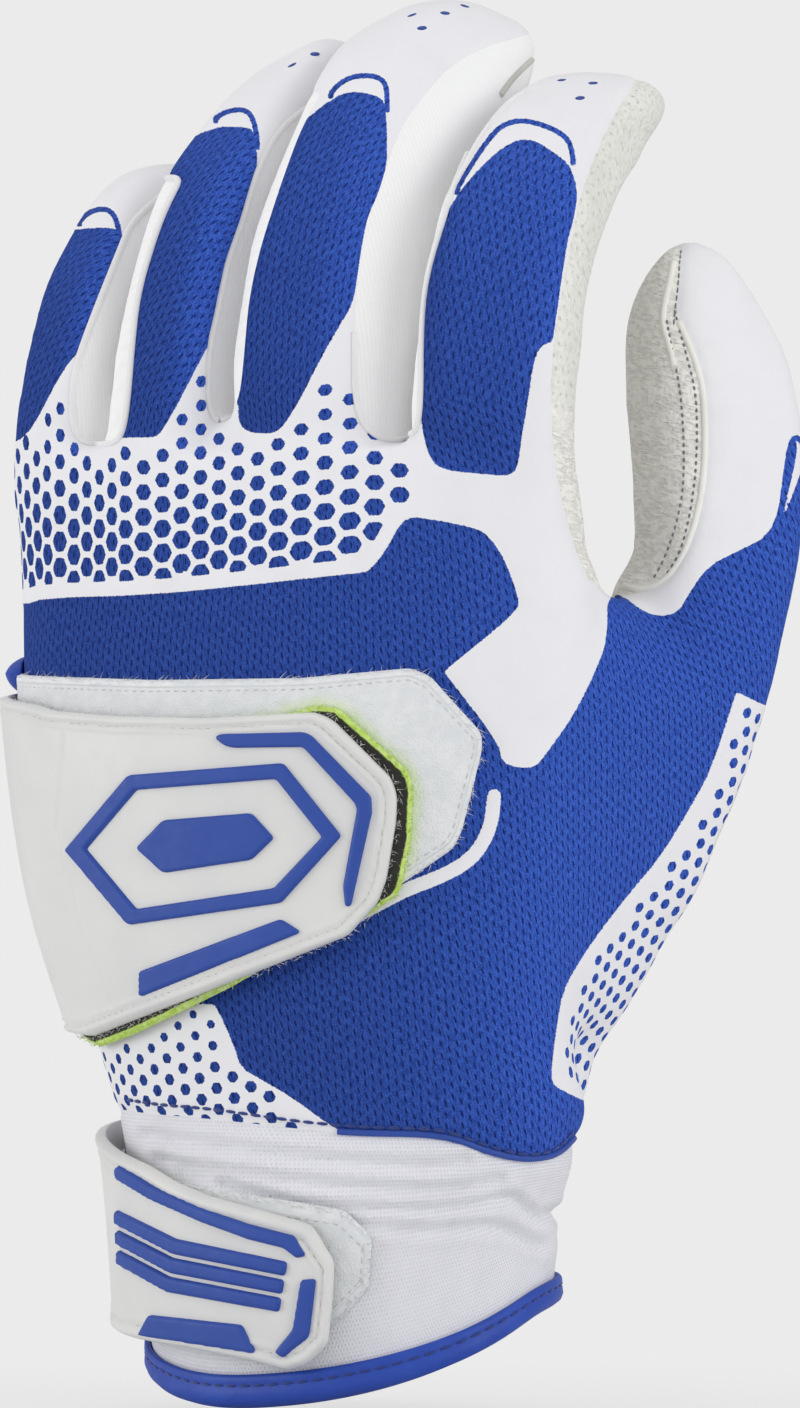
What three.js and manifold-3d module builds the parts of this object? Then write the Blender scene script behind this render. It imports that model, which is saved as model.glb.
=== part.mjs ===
// A left-hand batting glove, shown as if worn on a relaxed hand: the back of the hand faces -Y,
// the fingers point up +Z and curl towards +Y, and the thumb lies at +X. Millimetres.
// The origin is the middle of the wrist opening, where the hand goes in.
import * as THREE from "three";
import { mergeVertices } from "three/addons/utils/BufferGeometryUtils.js";
import Module from "manifold-3d";

const wasm = await Module();
wasm.setup();

// Fabric and trim thicknesses
const BACK_FABRIC = 1.0;
const PALM_LEATHER = 1.0;
const GUSSET_KNIT = 0.8;
const SLEEVE_KNIT = 0.8;
const CUFF_FOAM = 2.2;
const BINDING_WALL = 0.8;
const LOOP_PILE = 0.9;
const HOOK_PILE = 0.8;
const TAB_WALL = 1.5;
const RAISED_MARK = 0.7;
const ANCHOR_WALL = 1.4;
const SLOT_WALL = 1.8;
const SEAM_GAP = 0.3;

// Heights above the wrist opening, along the hand
const WAIST_HEIGHT = 15;
const CUFF_TOP = 31;
const LOWER_PALM_HEIGHT = 63;
const MIDDLE_PALM_HEIGHT = 93;
const KNUCKLE_HEIGHT = 114;
const FINGER_ROOT_HEIGHT = 131;

// Half breadths and half depths of the oval hand sections
const HEM_HALF_BREADTH = 33;
const HEM_HALF_DEPTH = 22.5;
const WAIST_HALF_BREADTH = 33;
const WAIST_HALF_DEPTH = 22;
const CUFF_HALF_BREADTH = 37.5;
const CUFF_HALF_DEPTH = 22;
const LOWER_PALM_HALF_BREADTH = 43;
const LOWER_PALM_HALF_DEPTH = 21;
const MIDDLE_PALM_HALF_BREADTH = 46;
const MIDDLE_PALM_HALF_DEPTH = 19;
const KNUCKLE_HALF_BREADTH = 47.2;
const KNUCKLE_HALF_DEPTH = 16.5;
const ROOT_HALF_BREADTH = 46.5;
const ROOT_HALF_DEPTH = 10.5;

// The hem is cut on a slant: higher at the thumb side, lower at the back of the hand
const HEM_RISE_AT_THUMB = 4.5;
const HEM_DROP_AT_BACK = 11.5;
const BINDING_HEIGHT = 5;
const CUFF_SLIT_ANGLE = 8;
const CUFF_SLIT_MIDDLE = 186;

// Angles round the hand, in degrees: 0 thumb side, 90 back, 180 little-finger side, 270 palm
const THUMB_SIDE_SEAM = -12;
const LITTLE_SIDE_SEAM = 196;
const SIDE_SEAM_GAP_ANGLE = 1;

// Bending joints of the fingers
const SLEEVE_LENGTH = 12;
const SEAM_ANGLE = 2;

// Ways along a finger, from 0 at the root to 1 at the tip: where the tip starts to round off, where the back and
// front pieces start to close over the side gussets and how long that takes, and where the gussets end
const DOME_START = 0.8;
const CLOSING_START = 0.68;
const CLOSING_LENGTH = 0.2;
const SIDE_END = 0.84;

// The knit gusset between two fingers: how far it dips below their roots, and the share of its length on each side
const CROTCH_DIP = 7;
const GUSSET_SIDE = 0.3;

const degrees = Math.PI / 180;

const HAND_SECTIONS = [
  { height: 0, x: 0, y: 0, breadth: HEM_HALF_BREADTH, depth: HEM_HALF_DEPTH, yaw: 32, arch: 0, square: 2.2 },
  { height: WAIST_HEIGHT, x: -1, y: -1, breadth: WAIST_HALF_BREADTH, depth: WAIST_HALF_DEPTH,
    yaw: 31, arch: 0.5, square: 2.2 },
  { height: CUFF_TOP, x: 0.3, y: -2, breadth: CUFF_HALF_BREADTH, depth: CUFF_HALF_DEPTH,
    yaw: 30, arch: 1, square: 2.2 },
  { height: LOWER_PALM_HEIGHT, x: -4.5, y: -1, breadth: LOWER_PALM_HALF_BREADTH, depth: LOWER_PALM_HALF_DEPTH,
    yaw: 28, arch: 2, square: 2.3 },
  { height: MIDDLE_PALM_HEIGHT, x: -6, y: -1, breadth: MIDDLE_PALM_HALF_BREADTH, depth: MIDDLE_PALM_HALF_DEPTH,
    yaw: 27, arch: 3, square: 2.4 },
  { height: KNUCKLE_HEIGHT, x: -6, y: 1, breadth: KNUCKLE_HALF_BREADTH, depth: KNUCKLE_HALF_DEPTH,
    yaw: 28, arch: 4, square: 2.6 },
  { height: FINGER_ROOT_HEIGHT, x: -9, y: 2, breadth: ROOT_HALF_BREADTH, depth: ROOT_HALF_DEPTH,
    yaw: 30, arch: 4, square: 3.2 },
];

// Each finger: its place along the row of roots, how far its back is turned towards the little-finger side,
// half width and half depth at the root and near the tip, three control points of its curve from the root,
// where its middle joint lies along the curve, and the angles where its back and front pieces end.
const FINGERS = {
  little: {
    place: -37, yaw: 54, rootWidth: 8.2, tipWidth: 7.4, rootDepth: 8, tipDepth: 7,
    curve: [[0, -1, 16], [5, 10, 39], [19, 34, 39]], joint: 0.42, back: [45, 182], front: [182, 315],
  },
  ring: {
    place: -18, yaw: 45, rootWidth: 9.3, tipWidth: 8.6, rootDepth: 8.8, tipDepth: 7.8,
    curve: [[1, -1, 26], [11, 15, 58], [27, 44, 56]], joint: 0.42, back: [45, 135], front: [225, 315],
  },
  middle: {
    place: 6, yaw: 34, rootWidth: 10.2, tipWidth: 9.4, rootDepth: 9.2, tipDepth: 8.2,
    curve: [[0.5, -1, 26], [7, 16, 65], [28, 48, 60]], joint: 0.42, back: [45, 135], front: [225, 315],
  },
  index: {
    place: 36.5, yaw: 17, rootWidth: 10.4, tipWidth: 9.6, rootDepth: 9, tipDepth: 8.2,
    curve: [[0, -2, 22], [6, 10, 55], [22, 42, 50]], joint: 0.42, back: [32, 135], front: [225, 392],
  },
};
const FINGER_SQUARE = 3.2;

const THUMB = {
  root: [12, 2, 30], yaw: -30, rootWidth: 14, tipWidth: 11.4, rootDepth: 12.5, tipDepth: 10,
  curve: [[40, -4, 38], [53, 4, 100], [37, 10, 130]], joint: 0.71, back: [-20, 150], front: [150, 340],
};
const THUMB_START = 0.12;

// Straps: the angles of the hinge line, of the tip and of the end of the sewn anchor, the heights of the edges
// at the hinge and at the tip, where the top corner is cut, how deep, and the slant of the tip edge
const HAND_STRAP = {
  hinge: 176, tip: 60, anchorEnd: 226, top: 91, topAtTip: 91, bottom: 43, bottomAtTip: 60,
  cornerFrom: 0.84, cornerDrop: 11, tipSlant: 9,
};
const HAND_LOOP = {
  hinge: 168, tip: 36, top: 97, topAtTip: 98, bottom: 50, bottomAtTip: 70,
  cornerFrom: 0.83, cornerDrop: 10, tipSlant: 8,
};
const WRIST_STRAP = {
  hinge: 172, tip: 72, anchorEnd: 226, top: 30, topAtTip: 17.5, bottom: BINDING_HEIGHT + 0.5,
  bottomAtTip: 2.5, cornerFrom: 0.86, cornerDrop: 5, tipSlant: 6,
};
const WRIST_LOOP = {
  hinge: 165, tip: 64, top: 27, topAtTip: 18, bottom: BINDING_HEIGHT + 1, bottomAtTip: BINDING_HEIGHT + 1,
  cornerFrom: 0.88, cornerDrop: 3, tipSlant: 3,
};
const HOOK_INSET = 2.5;
const HOOK_BACK_SET = 14;
const MARK_MARGIN = 4;
const BAR_WIDTH = 2;
const LOWER_BAR_WIDTH = 3.4;
const SLOT_HEIGHT = 5;
const SLOT_BACK_SET = 4;

// The badge on the hand strap: a long hexagon with narrowed ends
const BADGE_HALF_HEIGHT = 10.5;
const BADGE_RAISE = 1;
const BADGE_END_SHARE = 0.25;
const BADGE_NARROWING = 3;

// The grip ribs on the wrist strap, each taking a share of its place in the row
const GRIP_RIBS = 3;
const RIB_SHARE = 0.7;
const RIB_LEAD = 0.12;
const RIB_MARGIN = 1;

// Where marks start and end on the straps, in degrees from the hinge line and from the tip
const HAND_UPPER_BAR = { fromTip: 32, toTip: 4 };
const HAND_LOWER_BAR = { fromHinge: 50, toTip: 18 };
const HAND_BADGE = { fromHinge: 30, toTip: 11 };
const WRIST_UPPER_BAR = { fromHinge: 10, toTip: 8 };
const WRIST_LOWER_BAR = { fromHinge: 30, toTip: 20 };
const WRIST_RIBS = { fromHinge: 22, toTip: 26 };

const mix = (a, b, t) => a + (b - a) * t;
const smooth = (t) => t * t * (3 - 2 * t);
const clamp01 = (t) => Math.min(1, Math.max(0, t));
const power = (value, exponent) => Math.sign(value) * Math.abs(value) ** exponent;

// One value of the hand sections at a height, on a smooth curve through the sections
function sectionValue(key, height) {
  const last = HAND_SECTIONS.length - 1;
  let i = 0;
  while (i < last - 1 && height > HAND_SECTIONS[i + 1].height) i += 1;
  const slope = (j) => {
    const before = HAND_SECTIONS[Math.max(0, j - 1)];
    const after = HAND_SECTIONS[Math.min(last, j + 1)];
    return (after[key] - before[key]) / (after.height - before.height);
  };
  const low = HAND_SECTIONS[i];
  const high = HAND_SECTIONS[i + 1];
  const span = high.height - low.height;
  const t = (height - low.height) / span;
  const rise = 2 * t ** 3 - 3 * t ** 2;
  return (1 + rise) * low[key] - rise * high[key]
    + span * ((t ** 3 - 2 * t ** 2 + t) * slope(i) + (t ** 3 - t ** 2) * slope(i + 1));
}

// A point on the hand: angle round it in degrees, height along it, distance out from its surface
function handPoint(angle, height, out) {
  const value = (key) => sectionValue(key, height);
  const exponent = 2 / value("square");
  const across = power(Math.cos(angle * degrees), exponent);
  const deep = power(Math.sin(angle * degrees), exponent);
  const sideways = (value("breadth") + out) * across;
  const dorsal = (value("depth") + out) * deep + value("arch") * (1 - across ** 2);
  const yaw = value("yaw") * degrees;
  const slant = 1 - smooth(clamp01(height / CUFF_TOP));
  return new THREE.Vector3(
    value("x") + sideways * Math.cos(yaw) - dorsal * Math.sin(yaw),
    value("y") - sideways * Math.sin(yaw) - dorsal * Math.cos(yaw),
    height + slant * (HEM_RISE_AT_THUMB * across - HEM_DROP_AT_BACK * deep),
  );
}

// Where a finger starts on the arched row of finger roots
function rootPoint(place) {
  const value = (key) => sectionValue(key, FINGER_ROOT_HEIGHT);
  const yaw = value("yaw") * degrees;
  const arch = value("arch") * (1 - (place / value("breadth")) ** 2);
  return new THREE.Vector3(
    value("x") + place * Math.cos(yaw) - arch * Math.sin(yaw),
    value("y") - place * Math.sin(yaw) - arch * Math.cos(yaw),
    FINGER_ROOT_HEIGHT,
  );
}

function fingerCurve(finger) {
  const root = finger.root ? new THREE.Vector3(...finger.root) : rootPoint(finger.place);
  const [a, b, c] = finger.curve.map((step) => root.clone().add(new THREE.Vector3(...step)));
  return new THREE.CubicBezierCurve3(root, a, b, c);
}

// The tangent, sideways and dorsal directions of a finger's section
function fingerFrame(finger, t) {
  const curve = fingerCurve(finger);
  const tangent = curve.getTangent(t);
  const yaw = finger.yaw * degrees;
  const sideways = new THREE.Vector3(Math.cos(yaw), -Math.sin(yaw), 0);
  sideways.addScaledVector(tangent, -sideways.dot(tangent)).normalize();
  const dorsal = new THREE.Vector3().crossVectors(sideways, tangent);
  return { centre: curve.getPoint(t), tangent, sideways, dorsal };
}

// A point on a finger: angle round it, way along it from 0 at the root to 1 at the tip, distance out
function fingerPoint(finger, angle, way, out) {
  const dome = clamp01((way - DOME_START) / (1 - DOME_START)) * 90 * degrees;
  const t = way < DOME_START ? way : DOME_START + (1 - DOME_START) * Math.sin(dome);
  const { centre, tangent, sideways, dorsal } = fingerFrame(finger, t);
  const width = (mix(finger.rootWidth, finger.tipWidth, t) + out) * Math.cos(dome);
  const depth = (mix(finger.rootDepth, finger.tipDepth, t) + out) * Math.cos(dome);
  const exponent = 2 / FINGER_SQUARE;
  return centre
    .addScaledVector(sideways, width * power(Math.cos(angle * degrees), exponent))
    .addScaledVector(dorsal, depth * power(Math.sin(angle * degrees), exponent))
    .addScaledVector(tangent, out * Math.sin(dome));
}

// A closed geometry with its shared points merged, flat triangles left out and its faces pointing out
function closedGeometry(points, triangles) {
  const loose = new THREE.BufferGeometry();
  loose.setAttribute("position", new THREE.Float32BufferAttribute(points.flatMap((p) => [p.x, p.y, p.z]), 3));
  loose.setIndex(triangles.flat());
  const geometry = mergeVertices(loose, 1e-4);
  const index = geometry.getIndex().array;
  const position = geometry.getAttribute("position");
  const kept = [];
  let volume = 0;
  const [a, b, c] = [new THREE.Vector3(), new THREE.Vector3(), new THREE.Vector3()];
  for (let i = 0; i < index.length; i += 3) {
    const [p, q, r] = [index[i], index[i + 1], index[i + 2]];
    if (p === q || q === r || p === r) continue;
    kept.push([p, q, r]);
    a.fromBufferAttribute(position, p);
    b.fromBufferAttribute(position, q);
    c.fromBufferAttribute(position, r);
    volume += a.dot(b.cross(c));
  }
  geometry.setIndex(kept.flatMap(([p, q, r]) => (volume > 0 ? [p, q, r] : [p, r, q])));
  geometry.computeVertexNormals();
  return geometry;
}

// A plate between an inner and an outer face, each given as a point for (across, along) from 0 to 1
function plate(inner, outer, acrossSteps, alongSteps, closed = false) {
  const points = [];
  const triangles = [];
  const columns = closed ? acrossSteps : acrossSteps + 1;
  const rows = alongSteps + 1;
  for (const face of [inner, outer]) {
    for (let j = 0; j < rows; j += 1) {
      for (let i = 0; i < columns; i += 1) points.push(face(i / acrossSteps, j / alongSteps));
    }
  }
  const at = (side, i, j) => side * columns * rows + j * columns + (i % columns);
  const quad = (a, b, c, d) => triangles.push([a, b, c], [a, c, d]);
  for (let j = 0; j < alongSteps; j += 1) {
    for (let i = 0; i < acrossSteps; i += 1) {
      quad(at(1, i, j), at(1, i + 1, j), at(1, i + 1, j + 1), at(1, i, j + 1));
      quad(at(0, i, j), at(0, i, j + 1), at(0, i + 1, j + 1), at(0, i + 1, j));
    }
  }
  for (let i = 0; i < acrossSteps; i += 1) {
    quad(at(0, i, 0), at(0, i + 1, 0), at(1, i + 1, 0), at(1, i, 0));
    quad(at(0, i, alongSteps), at(1, i, alongSteps), at(1, i + 1, alongSteps), at(0, i + 1, alongSteps));
  }
  for (let j = 0; j < alongSteps && !closed; j += 1) {
    quad(at(0, 0, j), at(1, 0, j), at(1, 0, j + 1), at(0, 0, j + 1));
    quad(at(0, acrossSteps, j), at(0, acrossSteps, j + 1), at(1, acrossSteps, j + 1), at(1, acrossSteps, j));
  }
  return closedGeometry(points, triangles);
}

// A plate on the hand, from one distance out to another; region gives [angle, height] for (across, along)
function handPlate(region, from, to, acrossSteps, alongSteps) {
  const face = (out) => (s, r) => handPoint(...region(s, r), out);
  return plate(face(from), face(to), acrossSteps, alongSteps);
}

function toSolid(geometry) {
  return new wasm.Manifold(new wasm.Mesh({
    numProp: 3,
    vertProperties: new Float32Array(geometry.getAttribute("position").array),
    triVerts: new Uint32Array(geometry.getIndex().array),
  }));
}

function toGeometry(solid) {
  const mesh = solid.getMesh();
  const geometry = new THREE.BufferGeometry();
  geometry.setAttribute("position", new THREE.Float32BufferAttribute(mesh.vertProperties, 3));
  geometry.setIndex(Array.from(mesh.triVerts));
  geometry.computeVertexNormals();
  return geometry;
}

// What is left of a piece outside another, keeping its largest body
function outside(geometry, other) {
  const bodies = toSolid(geometry).subtract(toSolid(other)).decompose();
  bodies.sort((a, b) => b.volume() - a.volume());
  return toGeometry(bodies[0]);
}

const finish = (color, roughness) => new THREE.MeshStandardMaterial({ color, roughness, metalness: 0 });
const FINISHES = {
  blueKnit: finish(0x2445a8, 0.9),
  blueVinyl: finish(0x2747ad, 0.45),
  whiteKnit: finish(0xe9e9ee, 0.9),
  whiteFoam: finish(0xe6e6ea, 0.85),
  whiteRubber: finish(0xecece8, 0.45),
  leather: finish(0xd6d2c8, 0.6),
  loopPile: finish(0xe4e8e8, 1),
  hookPile: finish(0x26271f, 0.9),
};

const glove = new THREE.Group();
glove.name = "batting_glove";

function addPiece(name, geometry, material) {
  const mesh = new THREE.Mesh(geometry, material);
  mesh.name = name;
  glove.add(mesh);
  return mesh;
}

// Solids of the filled hand and thumb, a seam gap larger than the glove, that trim the pieces meeting there
const filledTube = (point, sides, steps) => {
  const hollow = [];
  const triangles = [];
  for (let j = 0; j <= steps; j += 1) {
    for (let i = 0; i < sides; i += 1) hollow.push(point(i / sides, j / steps));
  }
  const ring = (j) => hollow.slice(j * sides, (j + 1) * sides);
  const middle = (j) => ring(j).reduce((sum, p) => sum.add(p), new THREE.Vector3()).divideScalar(sides);
  const points = [...hollow, middle(0), middle(steps)];
  const at = (i, j) => j * sides + (i % sides);
  for (let i = 0; i < sides; i += 1) {
    for (let j = 0; j < steps; j += 1) {
      triangles.push([at(i, j), at(i + 1, j), at(i + 1, j + 1)], [at(i, j), at(i + 1, j + 1), at(i, j + 1)]);
    }
    triangles.push([at(i + 1, 0), at(i, 0), hollow.length]);
    triangles.push([at(i, steps), at(i + 1, steps), hollow.length + 1]);
  }
  return closedGeometry(points, triangles);
};
const handFilled = filledTube((s, r) => handPoint(s * 360, r * FINGER_ROOT_HEIGHT, SEAM_GAP), 36, 16);
const thumbFilled = filledTube((s, r) => fingerPoint(THUMB, s * 360, r * DOME_START, SEAM_GAP), 20, 12);

// The body of the hand: knit back and leather palm
function addHandPanels() {
  const rows = (r) => mix(CUFF_TOP + SEAM_GAP, FINGER_ROOT_HEIGHT - SEAM_GAP, r);
  const half = SIDE_SEAM_GAP_ANGLE / 2;
  const back = handPlate((s, r) => [mix(THUMB_SIDE_SEAM + half, LITTLE_SIDE_SEAM - half, s), rows(r)],
    -BACK_FABRIC, 0, 18, 9);
  addPiece("back_panel", outside(back, thumbFilled), FINISHES.blueKnit);
  const palm = handPlate((s, r) => [mix(LITTLE_SIDE_SEAM + half, THUMB_SIDE_SEAM + 360 - half, s), rows(r)],
    -PALM_LEATHER, 0, 14, 9);
  addPiece("palm_panel", outside(palm, thumbFilled), FINISHES.leather);
}

// The wrist: a foam cuff, slit under the strap, and a folded binding over its hem
function addCuff() {
  const start = CUFF_SLIT_MIDDLE + CUFF_SLIT_ANGLE / 2;
  const end = CUFF_SLIT_MIDDLE + 360 - CUFF_SLIT_ANGLE / 2;
  const hem = BINDING_WALL + SEAM_GAP;
  addPiece("cuff", handPlate((s, r) => [mix(start, end, s), mix(hem, CUFF_TOP, r)], -CUFF_FOAM, 0, 36, 4),
    FINISHES.whiteFoam);
  const outer = BINDING_WALL + SEAM_GAP;
  const inner = -CUFF_FOAM - outer;
  const profile = [
    [outer, BINDING_HEIGHT], [outer, 0], [inner, 0], [inner, BINDING_HEIGHT],
    [inner + BINDING_WALL, BINDING_HEIGHT], [inner + BINDING_WALL, BINDING_WALL],
    [SEAM_GAP, BINDING_WALL], [SEAM_GAP, BINDING_HEIGHT],
  ];
  addPiece("cuff_binding", handRail(profile, start, end, 36), FINISHES.blueVinyl);
}

// A rail along the hand: a section of [distance out, height] points carried from one angle to another
function handRail(profile, start, end, steps) {
  const points = [];
  const triangles = [];
  const count = profile.length;
  for (let j = 0; j <= steps; j += 1) {
    for (const [out, height] of profile) points.push(handPoint(mix(start, end, j / steps), height, out));
  }
  for (let j = 0; j < steps; j += 1) {
    for (let i = 0; i < count; i += 1) {
      const next = (i + 1) % count;
      const [a, b, c, d] = [j * count + i, j * count + next, (j + 1) * count + next, (j + 1) * count + i];
      triangles.push([a, b, c], [a, c, d]);
    }
  }
  const flat = profile.map(([out, height]) => new THREE.Vector2(out, height));
  for (const [p, q, r] of THREE.ShapeUtils.triangulateShape(flat, [])) {
    triangles.push([p, q, r], [steps * count + p, steps * count + r, steps * count + q]);
  }
  return closedGeometry(points, triangles);
}

// A finger's way along its curve at half a sleeve before and after its joint
function sleeveWays(finger) {
  const length = fingerCurve(finger).getLength();
  const half = SLEEVE_LENGTH / 2 / length;
  return [finger.joint - half, finger.joint + half];
}

// Evenly spaced ways along a finger, both ends included
const stations = (from, to, steps) => Array.from({ length: steps + 1 }, (_, i) => mix(from, to, i / steps));

function limitAt(limit, closing, way) {
  return mix(limit, closing, smooth(clamp01((way - CLOSING_START) / CLOSING_LENGTH)));
}

// A lengthwise strip of a finger between two angles, which move to their closing angles at the tip
function fingerStrip(finger, limits, closing, ways, wall, lift, acrossSteps) {
  const face = (out) => (s, r) => {
    const way = ways[Math.round(r * (ways.length - 1))];
    const low = limitAt(limits[0], closing[0], way) + SEAM_ANGLE / 2;
    const high = limitAt(limits[1], closing[1], way) - SEAM_ANGLE / 2;
    const apart = lift * clamp01((way - SIDE_END) / (1 - SIDE_END) * 3);
    const { dorsal } = fingerFrame(finger, way);
    return fingerPoint(finger, mix(low, high, s), way, out).addScaledVector(dorsal, apart);
  };
  return plate(face(-wall), face(0), acrossSteps, ways.length - 1);
}

// The ways along a finger of its base, its sides beyond the sleeve, and its tip
function fingerWays(finger, rootWay) {
  const [low, high] = sleeveWays(finger);
  const seam = SEAM_GAP / fingerCurve(finger).getLength();
  const side = stations(high + seam, SIDE_END, 5);
  const dome = stations(SIDE_END, 1, 3).slice(1);
  return { base: stations(rootWay + seam, low - seam, 4), side, tip: [...side, ...dome] };
}

function addFinger(name, finger, rootWay) {
  const { base, tip } = fingerWays(finger, rootWay);
  const strip = (limits, closing, ways, wall, lift) => fingerStrip(finger, limits, closing, ways, wall, lift, 6);
  const half = SEAM_GAP / 2;
  addPiece(`${name}_back_base`, outside(strip(finger.back, finger.back, base, BACK_FABRIC, 0), handFilled),
    FINISHES.blueKnit);
  addPiece(`${name}_front_base`, outside(strip(finger.front, finger.front, base, PALM_LEATHER, 0), handFilled),
    FINISHES.leather);
  addPiece(`${name}_back_tip`, strip(finger.back, [0, 180], tip, BACK_FABRIC, half), FINISHES.blueKnit);
  addPiece(`${name}_front_tip`, strip(finger.front, [180, 360], tip, PALM_LEATHER, -half), FINISHES.leather);
  const [low, high] = sleeveWays(finger);
  const sleeve = (out) => (s, r) => fingerPoint(finger, s * 360, mix(low, high, r), out);
  addPiece(`${name}_sleeve`, plate(sleeve(-SLEEVE_KNIT), sleeve(0), 16, 3, true), FINISHES.whiteKnit);
}

// The strip of a knit gusset on the far part of a finger's side
function addTipGusset(name, finger, limits, closing) {
  const strip = fingerStrip(finger, limits, [closing, closing], fingerWays(finger, 0).side, GUSSET_KNIT, 0, 2);
  addPiece(name, strip, FINISHES.whiteKnit);
}

// The knit gusset between two fingers: down the side of one, round the crotch and up the side of the other
function addCrotchGusset(name, left, right) {
  const leftTop = sleeveWays(left)[0] - SEAM_GAP / fingerCurve(left).getLength();
  const rightTop = sleeveWays(right)[0] - SEAM_GAP / fingerCurve(right).getLength();
  const leftLimits = [left.front[1] - 360 + SEAM_ANGLE / 2, left.back[0] - SEAM_ANGLE / 2];
  const rightLimits = [right.front[0] - SEAM_ANGLE / 2, right.back[1] + SEAM_ANGLE / 2];
  const face = (out) => (s, r) => {
    const leftAngle = mix(leftLimits[0], leftLimits[1], s);
    const rightAngle = mix(rightLimits[0], rightLimits[1], s);
    if (r <= GUSSET_SIDE) return fingerPoint(left, leftAngle, mix(leftTop, 0, r / GUSSET_SIDE), out);
    const rest = 1 - r;
    if (rest <= GUSSET_SIDE) return fingerPoint(right, rightAngle, mix(rightTop, 0, rest / GUSSET_SIDE), out);
    const start = fingerPoint(left, leftAngle, 0, out);
    const end = fingerPoint(right, rightAngle, 0, out);
    const dip = new THREE.Vector3(0, 0, -CROTCH_DIP + out * 4 / 3);
    const bend = new THREE.CubicBezierCurve3(start, start.clone().add(dip), end.clone().add(dip), end);
    return bend.getPoint((r - GUSSET_SIDE) / (1 - 2 * GUSSET_SIDE));
  };
  addPiece(name, plate(face(-GUSSET_KNIT), face(0), 3, 20), FINISHES.whiteKnit);
}

function addFingers() {
  for (const [name, finger] of Object.entries(FINGERS)) addFinger(name, finger, 0);
  addFinger("thumb", THUMB, THUMB_START);
  const pairs = [["little", "ring"], ["ring", "middle"], ["middle", "index"]];
  for (const [left, right] of pairs) {
    addCrotchGusset(`${left}_${right}_gusset`, FINGERS[left], FINGERS[right]);
    const leftLimits = [FINGERS[left].front[1] - 360, FINGERS[left].back[0]];
    const rightLimits = [FINGERS[right].back[1], FINGERS[right].front[0]];
    addTipGusset(`${left}_tip_gusset_inner`, FINGERS[left], leftLimits, 0);
    addTipGusset(`${right}_tip_gusset_outer`, FINGERS[right], rightLimits, 180);
  }
}

// How far along a strap an angle lies, from 0 at its hinge to 1 at its tip, and its edges there
const strapReach = (strap, angle) => clamp01((angle - strap.hinge) / (strap.tip - strap.hinge));

function strapTop(strap, angle) {
  const reach = strapReach(strap, angle);
  const corner = Math.max(0, reach - strap.cornerFrom) / (1 - strap.cornerFrom);
  return mix(strap.top, strap.topAtTip, reach) - strap.cornerDrop * corner;
}

const strapBottom = (strap, angle) => mix(strap.bottom, strap.bottomAtTip, strapReach(strap, angle));

// The outline of a strap between two angles, set in from its edges
function strapRegion(strap, from, to, inset) {
  return (s, r) => {
    const angle = mix(from, to + strap.tipSlant * (1 - r), s);
    return [angle, mix(strapBottom(strap, angle) + inset, strapTop(strap, angle) - inset, r)];
  };
}

// A fastening strap: a loop pad on the hand, an anchor sewn to the palm side, and a moulded tab with its
// hook pad that lifts off the loop. Returns the distance out at which raised marks start.
function addStrap(name, strap, loop) {
  const hookFloor = LOOP_PILE + 2 * SEAM_GAP;
  const tabFloor = hookFloor + HOOK_PILE + SEAM_GAP;
  addPiece(`${name}_loop_pad`, handPlate(strapRegion(loop, loop.hinge, loop.tip, 0),
    SEAM_GAP, SEAM_GAP + LOOP_PILE, 14, 3), FINISHES.loopPile);
  const anchor = (s, r) => [mix(strap.hinge + SEAM_ANGLE, strap.anchorEnd, s), mix(strap.bottom, strap.top, r)];
  addPiece(`${name}_anchor`, handPlate(anchor, SEAM_GAP, SEAM_GAP + ANCHOR_WALL, 8, 3), FINISHES.whiteRubber);
  addPiece(`${name}_hook_pad`,
    handPlate(strapRegion(strap, strap.hinge - HOOK_BACK_SET, strap.tip + SEAM_ANGLE, HOOK_INSET),
      hookFloor, hookFloor + HOOK_PILE, 12, 3), FINISHES.hookPile);
  addPiece(`${name}_tab`, handPlate(strapRegion(strap, strap.hinge, strap.tip, 0),
    tabFloor, tabFloor + TAB_WALL, 14, 4), FINISHES.whiteRubber);
  return tabFloor + TAB_WALL + SEAM_GAP;
}

// Raised blue marks on a tab: bars along its upper edge, its lower edge and its tip
function addBars(name, strap, floor, upper, lower) {
  const mark = (piece, region, steps) => addPiece(`${name}_${piece}`,
    handPlate(region, floor, floor + RAISED_MARK, ...steps), FINISHES.blueVinyl);
  mark("upper_bar", (s, r) => {
    const angle = mix(upper[0], upper[1], s);
    const top = strapTop(strap, angle) - MARK_MARGIN;
    return [angle, mix(top - BAR_WIDTH, top, r)];
  }, [8, 1]);
  mark("lower_bar", (s, r) => {
    const angle = mix(lower[0], lower[1], s);
    const bottom = strapBottom(strap, angle) + MARK_MARGIN;
    return [angle, mix(bottom, bottom + LOWER_BAR_WIDTH, r)];
  }, [6, 1]);
  return mark;
}

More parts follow.
